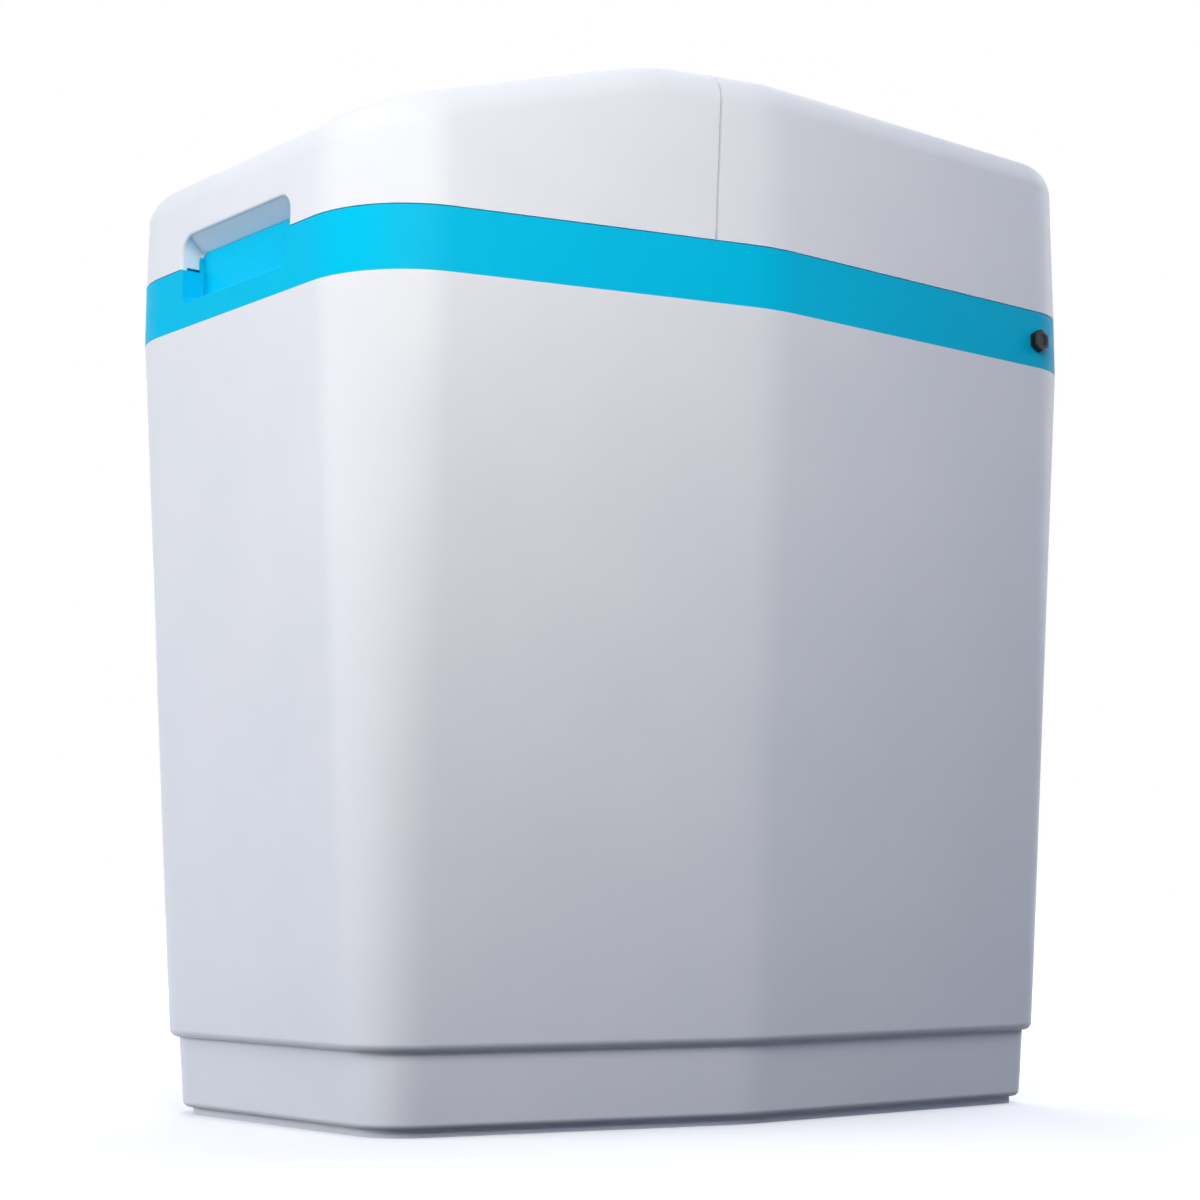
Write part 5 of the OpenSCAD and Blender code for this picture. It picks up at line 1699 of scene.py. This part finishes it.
@dataclass
class ControlPanel(Assembly):
    """The sloping panel on the deck: four soft buttons and a smoked window."""

    foot: Triple = (0.0, -34.0, Screws.deck_top)
    tilt: float = math.radians(24.0)
    skin: float = 2.5
    button: float = 5.0
    flange: float = 6.4
    flange_thick: float = 1.5
    play: float = 0.2
    proud: float = 1.6
    cap_round: float = 1.2
    cap_segments: int = 6
    # the dished top of a button: share of its radius, and depth under the rim
    dish: tuple[Pair, ...] = ((0.55, 0.2), (0.25, 0.38), (0.0, 0.42))
    steps: int = 48
    pitch: float = 24.0
    row: float = 17.0
    window: Pair = (60.0, 26.0)
    window_row: float = 43.0

    @property
    def face(self) -> Matrix:
        """The frame of the panel's face: X across, Y up the slope, Z out of it."""
        return Matrix.Translation(self.foot) @ Matrix.Rotation(QUARTER - self.tilt, 4, "X")

    def build(self) -> list[Piece]:
        """Builds the buttons and the window.

        Returns:
            Four buttons and the window.
        """
        names = ("menu", "down", "up", "set")
        middle = (len(names) - 1) / 2
        pieces = []
        for i, name in enumerate(names):
            bm = self.cap()
            place = self.face @ Matrix.Translation(((i - middle) * self.pitch, self.row, 0))
            bmesh.ops.transform(bm, matrix=place, verts=bm.verts)
            pieces.append(Piece(f"key_{name}", bm, (f"button_{name}",), edge=0.0))
        return [*pieces, Piece("window_lens", self.lens(), ("display_window",), edge=0.4)]

    def cap(self) -> BMesh:
        """Models a button: a flange under the panel and a dished cap with a soft rim.

        Returns:
            The closed button, standing on Z.
        """
        seat = -self.skin - self.play
        foot = seat - self.flange_thick
        turns = [QUARTER * i / self.cap_segments for i in range(self.cap_segments + 1)]
        inner, low = self.button - self.cap_round, self.proud - self.cap_round
        rim = [(inner + self.cap_round * math.cos(a), low + self.cap_round * math.sin(a)) for a in turns]
        dish = [(share * self.button, self.proud - deep) for share, deep in self.dish]
        profile = [(0.0, foot), (self.flange, foot), (self.flange, seat), (self.button, seat), *rim, *dish]
        return lathe(profile, (0, 0, 0), Axis.Z, self.steps)

    def lens(self) -> BMesh:
        """Models the window: a plate flush in the panel.

        Returns:
            The closed plate, in its place.
        """
        bm = bmesh.new()
        wide, high = self.window
        shape = Matrix.Translation((0, self.window_row, -self.skin)) @ Matrix.Diagonal((wide, high, 1.0, 1.0))
        bmesh.ops.create_grid(bm, x_segments=1, y_segments=1, size=0.5, matrix=shape)
        draw_out(bm, Z * self.skin)
        bmesh.ops.transform(bm, matrix=self.face, verts=bm.verts)
        return bm


@dataclass
class Inside(Assembly):
    """The inner pieces that keep their CAD shape, with their edges broken as in a mould."""

    edges: tuple[tuple[str, float], ...] = (
        ("panel_housing", 1.0), ("deck", 0.6), ("well_cap", 1.0), ("brine_well", 0.5), ("brine_nut", 0.6),
        ("power_inlet", 0.4), ("port_clips", 0.4), ("valve_body", 0.8), ("valve_cap", 0.6),
        ("injector_cap", 0.5), ("drive_motor", 0.6), ("salt_grid", 0.5), ("vessel_boot", 1.0),
    )
    flat: float = math.radians(0.5)
    merge: float = 2e-3

    def build(self) -> list[Piece]:
        """Takes each CAD mesh over, clears its flat faces of triangles and gives it round edges."""
        return [Piece(f"{node}_body", self.taken(node), (node,), edge=edge) for node, edge in self.edges]

    def taken(self, node: str) -> BMesh:
        """Copies the mesh of a CAD node in mm, with its flat faces whole.

        Args:
            node: the name of the CAD node.

        Returns:
            The merged copy.
        """
        bm = bmesh.new()
        bm.from_mesh(frame["nodes"][node].data)
        bmesh.ops.scale(bm, vec=Vector((1, 1, 1)) / MM, verts=bm.verts)
        bmesh.ops.remove_doubles(bm, verts=bm.verts, dist=self.merge)
        bmesh.ops.dissolve_limit(bm, angle_limit=self.flat, verts=bm.verts, edges=bm.edges)
        return bm


class Carried:
    """The pieces that keep their CAD shape and only get their finish."""

    def dress(self) -> None:
        """Gives every CAD node the finish of its slot."""
        for part in frame["record"]["subparts"]:
            mesh = frame["nodes"][part["node"]].data
            mesh.materials.clear()
            mesh.materials.append(SLOT_FINISHES[part["material_slot"]].material())


# Studio


@dataclass(frozen=True)
class Lamp:
    """A square soft lamp that hangs round the middle of the object.

    Its angles are in degrees, its distance and size in m, its power in W. A lamp that isn't mirrored lights
    the object but shows in no reflection.
    """

    name: str
    azimuth: float
    elevation: float
    distance: float
    size: float
    power: float
    colour: str = WHITE
    mirrored: bool = True

    def hang(self, aim: Vector) -> None:
        """Hangs the lamp so that it faces a point; azimuth 0 is in front, 90 on the right.

        Args:
            aim: the point that it faces, m.
        """
        turn, lift = math.radians(self.azimuth), math.radians(self.elevation)
        back = Vector((math.sin(turn) * math.cos(lift), -math.cos(turn) * math.cos(lift), math.sin(lift)))
        data = bpy.data.lights.new(self.name, "AREA")
        data.size = self.size
        data.energy = self.power
        data.color = linear(self.colour)[:3]
        made = bpy.data.objects.new(self.name, data)
        made.location = aim + back * self.distance
        made.rotation_euler = (-back).to_track_quat("-Z", "Y").to_euler()
        made.visible_camera = False
        made.visible_glossy = self.mirrored
        bpy.context.scene.collection.objects.link(made)


@dataclass
class Studio:
    """A pale floor under soft light, seen from the place of the photograph."""

    # the camera: its place in mm, its turn in radians, its focal length and its sensor in mm
    eye: Triple = (1017.57, -831.05, 107.93)
    yaw: float = 0.877
    pitch: float = 0.12912
    lens: float = 70.67
    sensor: float = 36.0
    # the light of the sky on the object
    ambient: str = "ACC3FF"
    ambient_strength: float = 0.3
    # the floor: half its width in m, its colour as a light and to the eye, and its glow from near to far, m
    floor_half: float = 30.0
    bounce: str = "32363C"
    paint: str = "E8E9EC"
    shadow_reach: Pair = (0.3, 2.0)
    glow: Pair = (0.3, 0.97)
    # the lamps, and the point in m that they face
    aim: Triple = (0.03, -0.03, 0.27)
    lamps: tuple[Lamp, ...] = (
        Lamp("key", 45, 24, 0.9, 0.45, 2.4, "FFF6E2", mirrored=False),
        Lamp("side", 65, 26, 0.9, 0.45, 1.85),
        Lamp("front", -25, 8, 1.8, 0.9, 14.7, mirrored=False),
        Lamp("high", 30, 30, 1.8, 0.9, 4.2, mirrored=False),
        Lamp("back", 165, 22, 1.8, 1.2, 4.5),
        Lamp("left", 240, 22, 1.8, 1.2, 15.5),
        Lamp("rear", 190, 22, 1.8, 1.2, 11.5, mirrored=False),
        Lamp("top", 215, 65, 1.8, 1.2, 2.5),
    )

    def build(self) -> None:
        """Sets the view, the sky, the floor and the lamps."""
        bpy.context.scene.view_settings.view_transform = "Standard"
        self.camera()
        self.sky()
        self.floor()
        for lamp in self.lamps:
            lamp.hang(Vector(self.aim))

    def camera(self) -> None:
        """Stands the camera where the photograph was taken."""
        ahead = Vector((-math.sin(self.yaw) * math.cos(self.pitch), math.cos(self.yaw) * math.cos(self.pitch),
                        math.sin(self.pitch)))
        data = bpy.data.cameras.new("camera")
        data.lens = self.lens
        data.sensor_width = self.sensor
        made = bpy.data.objects.new("camera", data)
        made.location = Vector(self.eye) * MM
        made.rotation_euler = ahead.to_track_quat("-Z", "Y").to_euler()
        bpy.context.scene.collection.objects.link(made)
        bpy.context.scene.camera = made

    def seen(self, tree: NodeTree) -> NodeSocket:
        """Finds where the eye looks: directly, in a reflection or through glass.

        Args:
            tree: the node tree of the floor or the sky.

        Returns:
            The share, 0 or 1.
        """
        path = add_node(tree, "ShaderNodeLightPath").outputs
        share = path["Is Camera Ray"]
        for ray in ("Is Glossy Ray", "Is Transmission Ray"):
            share = add_node(tree, "ShaderNodeMath", {0: share, 1: path[ray]}, operation="MAXIMUM").outputs[0]
        return share

    def sky(self) -> None:
        """Makes the background white to the eye and a soft blue-grey as a light."""
        world = bpy.data.worlds.new("studio")
        bpy.context.scene.world = world
        world.use_nodes = True
        tree = world.node_tree
        tree.nodes.clear()
        inputs = {"Color": linear(self.ambient), "Strength": self.ambient_strength}
        light = add_node(tree, "ShaderNodeBackground", inputs).outputs[0]
        white = add_node(tree, "ShaderNodeBackground", {"Color": linear(WHITE), "Strength": 1.0}).outputs[0]
        mixed = add_node(tree, "ShaderNodeMixShader", {0: self.seen(tree), 1: light, 2: white})
        add_node(tree, "ShaderNodeOutputWorld", {"Surface": mixed.outputs[0]})

    def floor(self) -> None:
        """Lays the floor under the object."""
        bm = bmesh.new()
        bmesh.ops.create_grid(bm, x_segments=1, y_segments=1, size=self.floor_half)
        mesh = bpy.data.meshes.new("floor")
        bm.to_mesh(mesh)
        bm.free()
        mesh.materials.append(self.floor_paint())
        made = bpy.data.objects.new("floor", mesh)
        bpy.context.scene.collection.objects.link(made)

    def floor_paint(self) -> Material:
        """Mixes the floor's paint: it keeps the shadow, turns white further out and is clear from below.

        Returns:
            The material of the floor.
        """
        material = bpy.data.materials.new("pale floor")
        material.use_nodes = True
        tree = material.node_tree
        tree.nodes.clear()
        place = add_node(tree, "ShaderNodeTexCoord").outputs["Object"]
        away = add_node(tree, "ShaderNodeVectorMath", {0: place}, operation="LENGTH").outputs["Value"]
        inputs = {"Value": away, "From Min": self.shadow_reach[0], "From Max": self.shadow_reach[1],
                  "To Min": self.glow[0], "To Max": self.glow[1]}
        strength = add_node(tree, "ShaderNodeMapRange", inputs).outputs["Result"]
        dull = add_node(tree, "ShaderNodeBsdfDiffuse", {"Color": linear(self.bounce)}).outputs[0]
        paint = add_node(tree, "ShaderNodeBsdfDiffuse", {"Color": linear(self.paint)}).outputs[0]
        glow = add_node(tree, "ShaderNodeEmission", {"Color": linear(WHITE), "Strength": strength}).outputs[0]
        lit = add_node(tree, "ShaderNodeAddShader", {0: paint, 1: glow}).outputs[0]
        both = add_node(tree, "ShaderNodeMixShader", {0: self.seen(tree), 1: dull, 2: lit}).outputs[0]
        clear = add_node(tree, "ShaderNodeBsdfTransparent").outputs[0]
        below = add_node(tree, "ShaderNodeNewGeometry").outputs["Backfacing"]
        sided = add_node(tree, "ShaderNodeMixShader", {0: below, 1: both, 2: clear})
        add_node(tree, "ShaderNodeOutputMaterial", {"Surface": sided.outputs[0]})
        return material


def main() -> None:
    """Builds the softener and its studio, and reports each piece."""
    Carried().dress()
    assemblies: list[Assembly] = [
        Cabinet(), Collar(), SaltLid(), RearCover(), OverflowPlug(), Pipes(), Screws(), ControlPanel(),
        Inside(),
    ]
    for assembly in assemblies:
        for piece in assembly.build():
            made = piece.place()
            log.info("%s: %d faces", made.name, len(made.data.polygons))
    Studio().build()


if __name__ == "__main__":
    main()
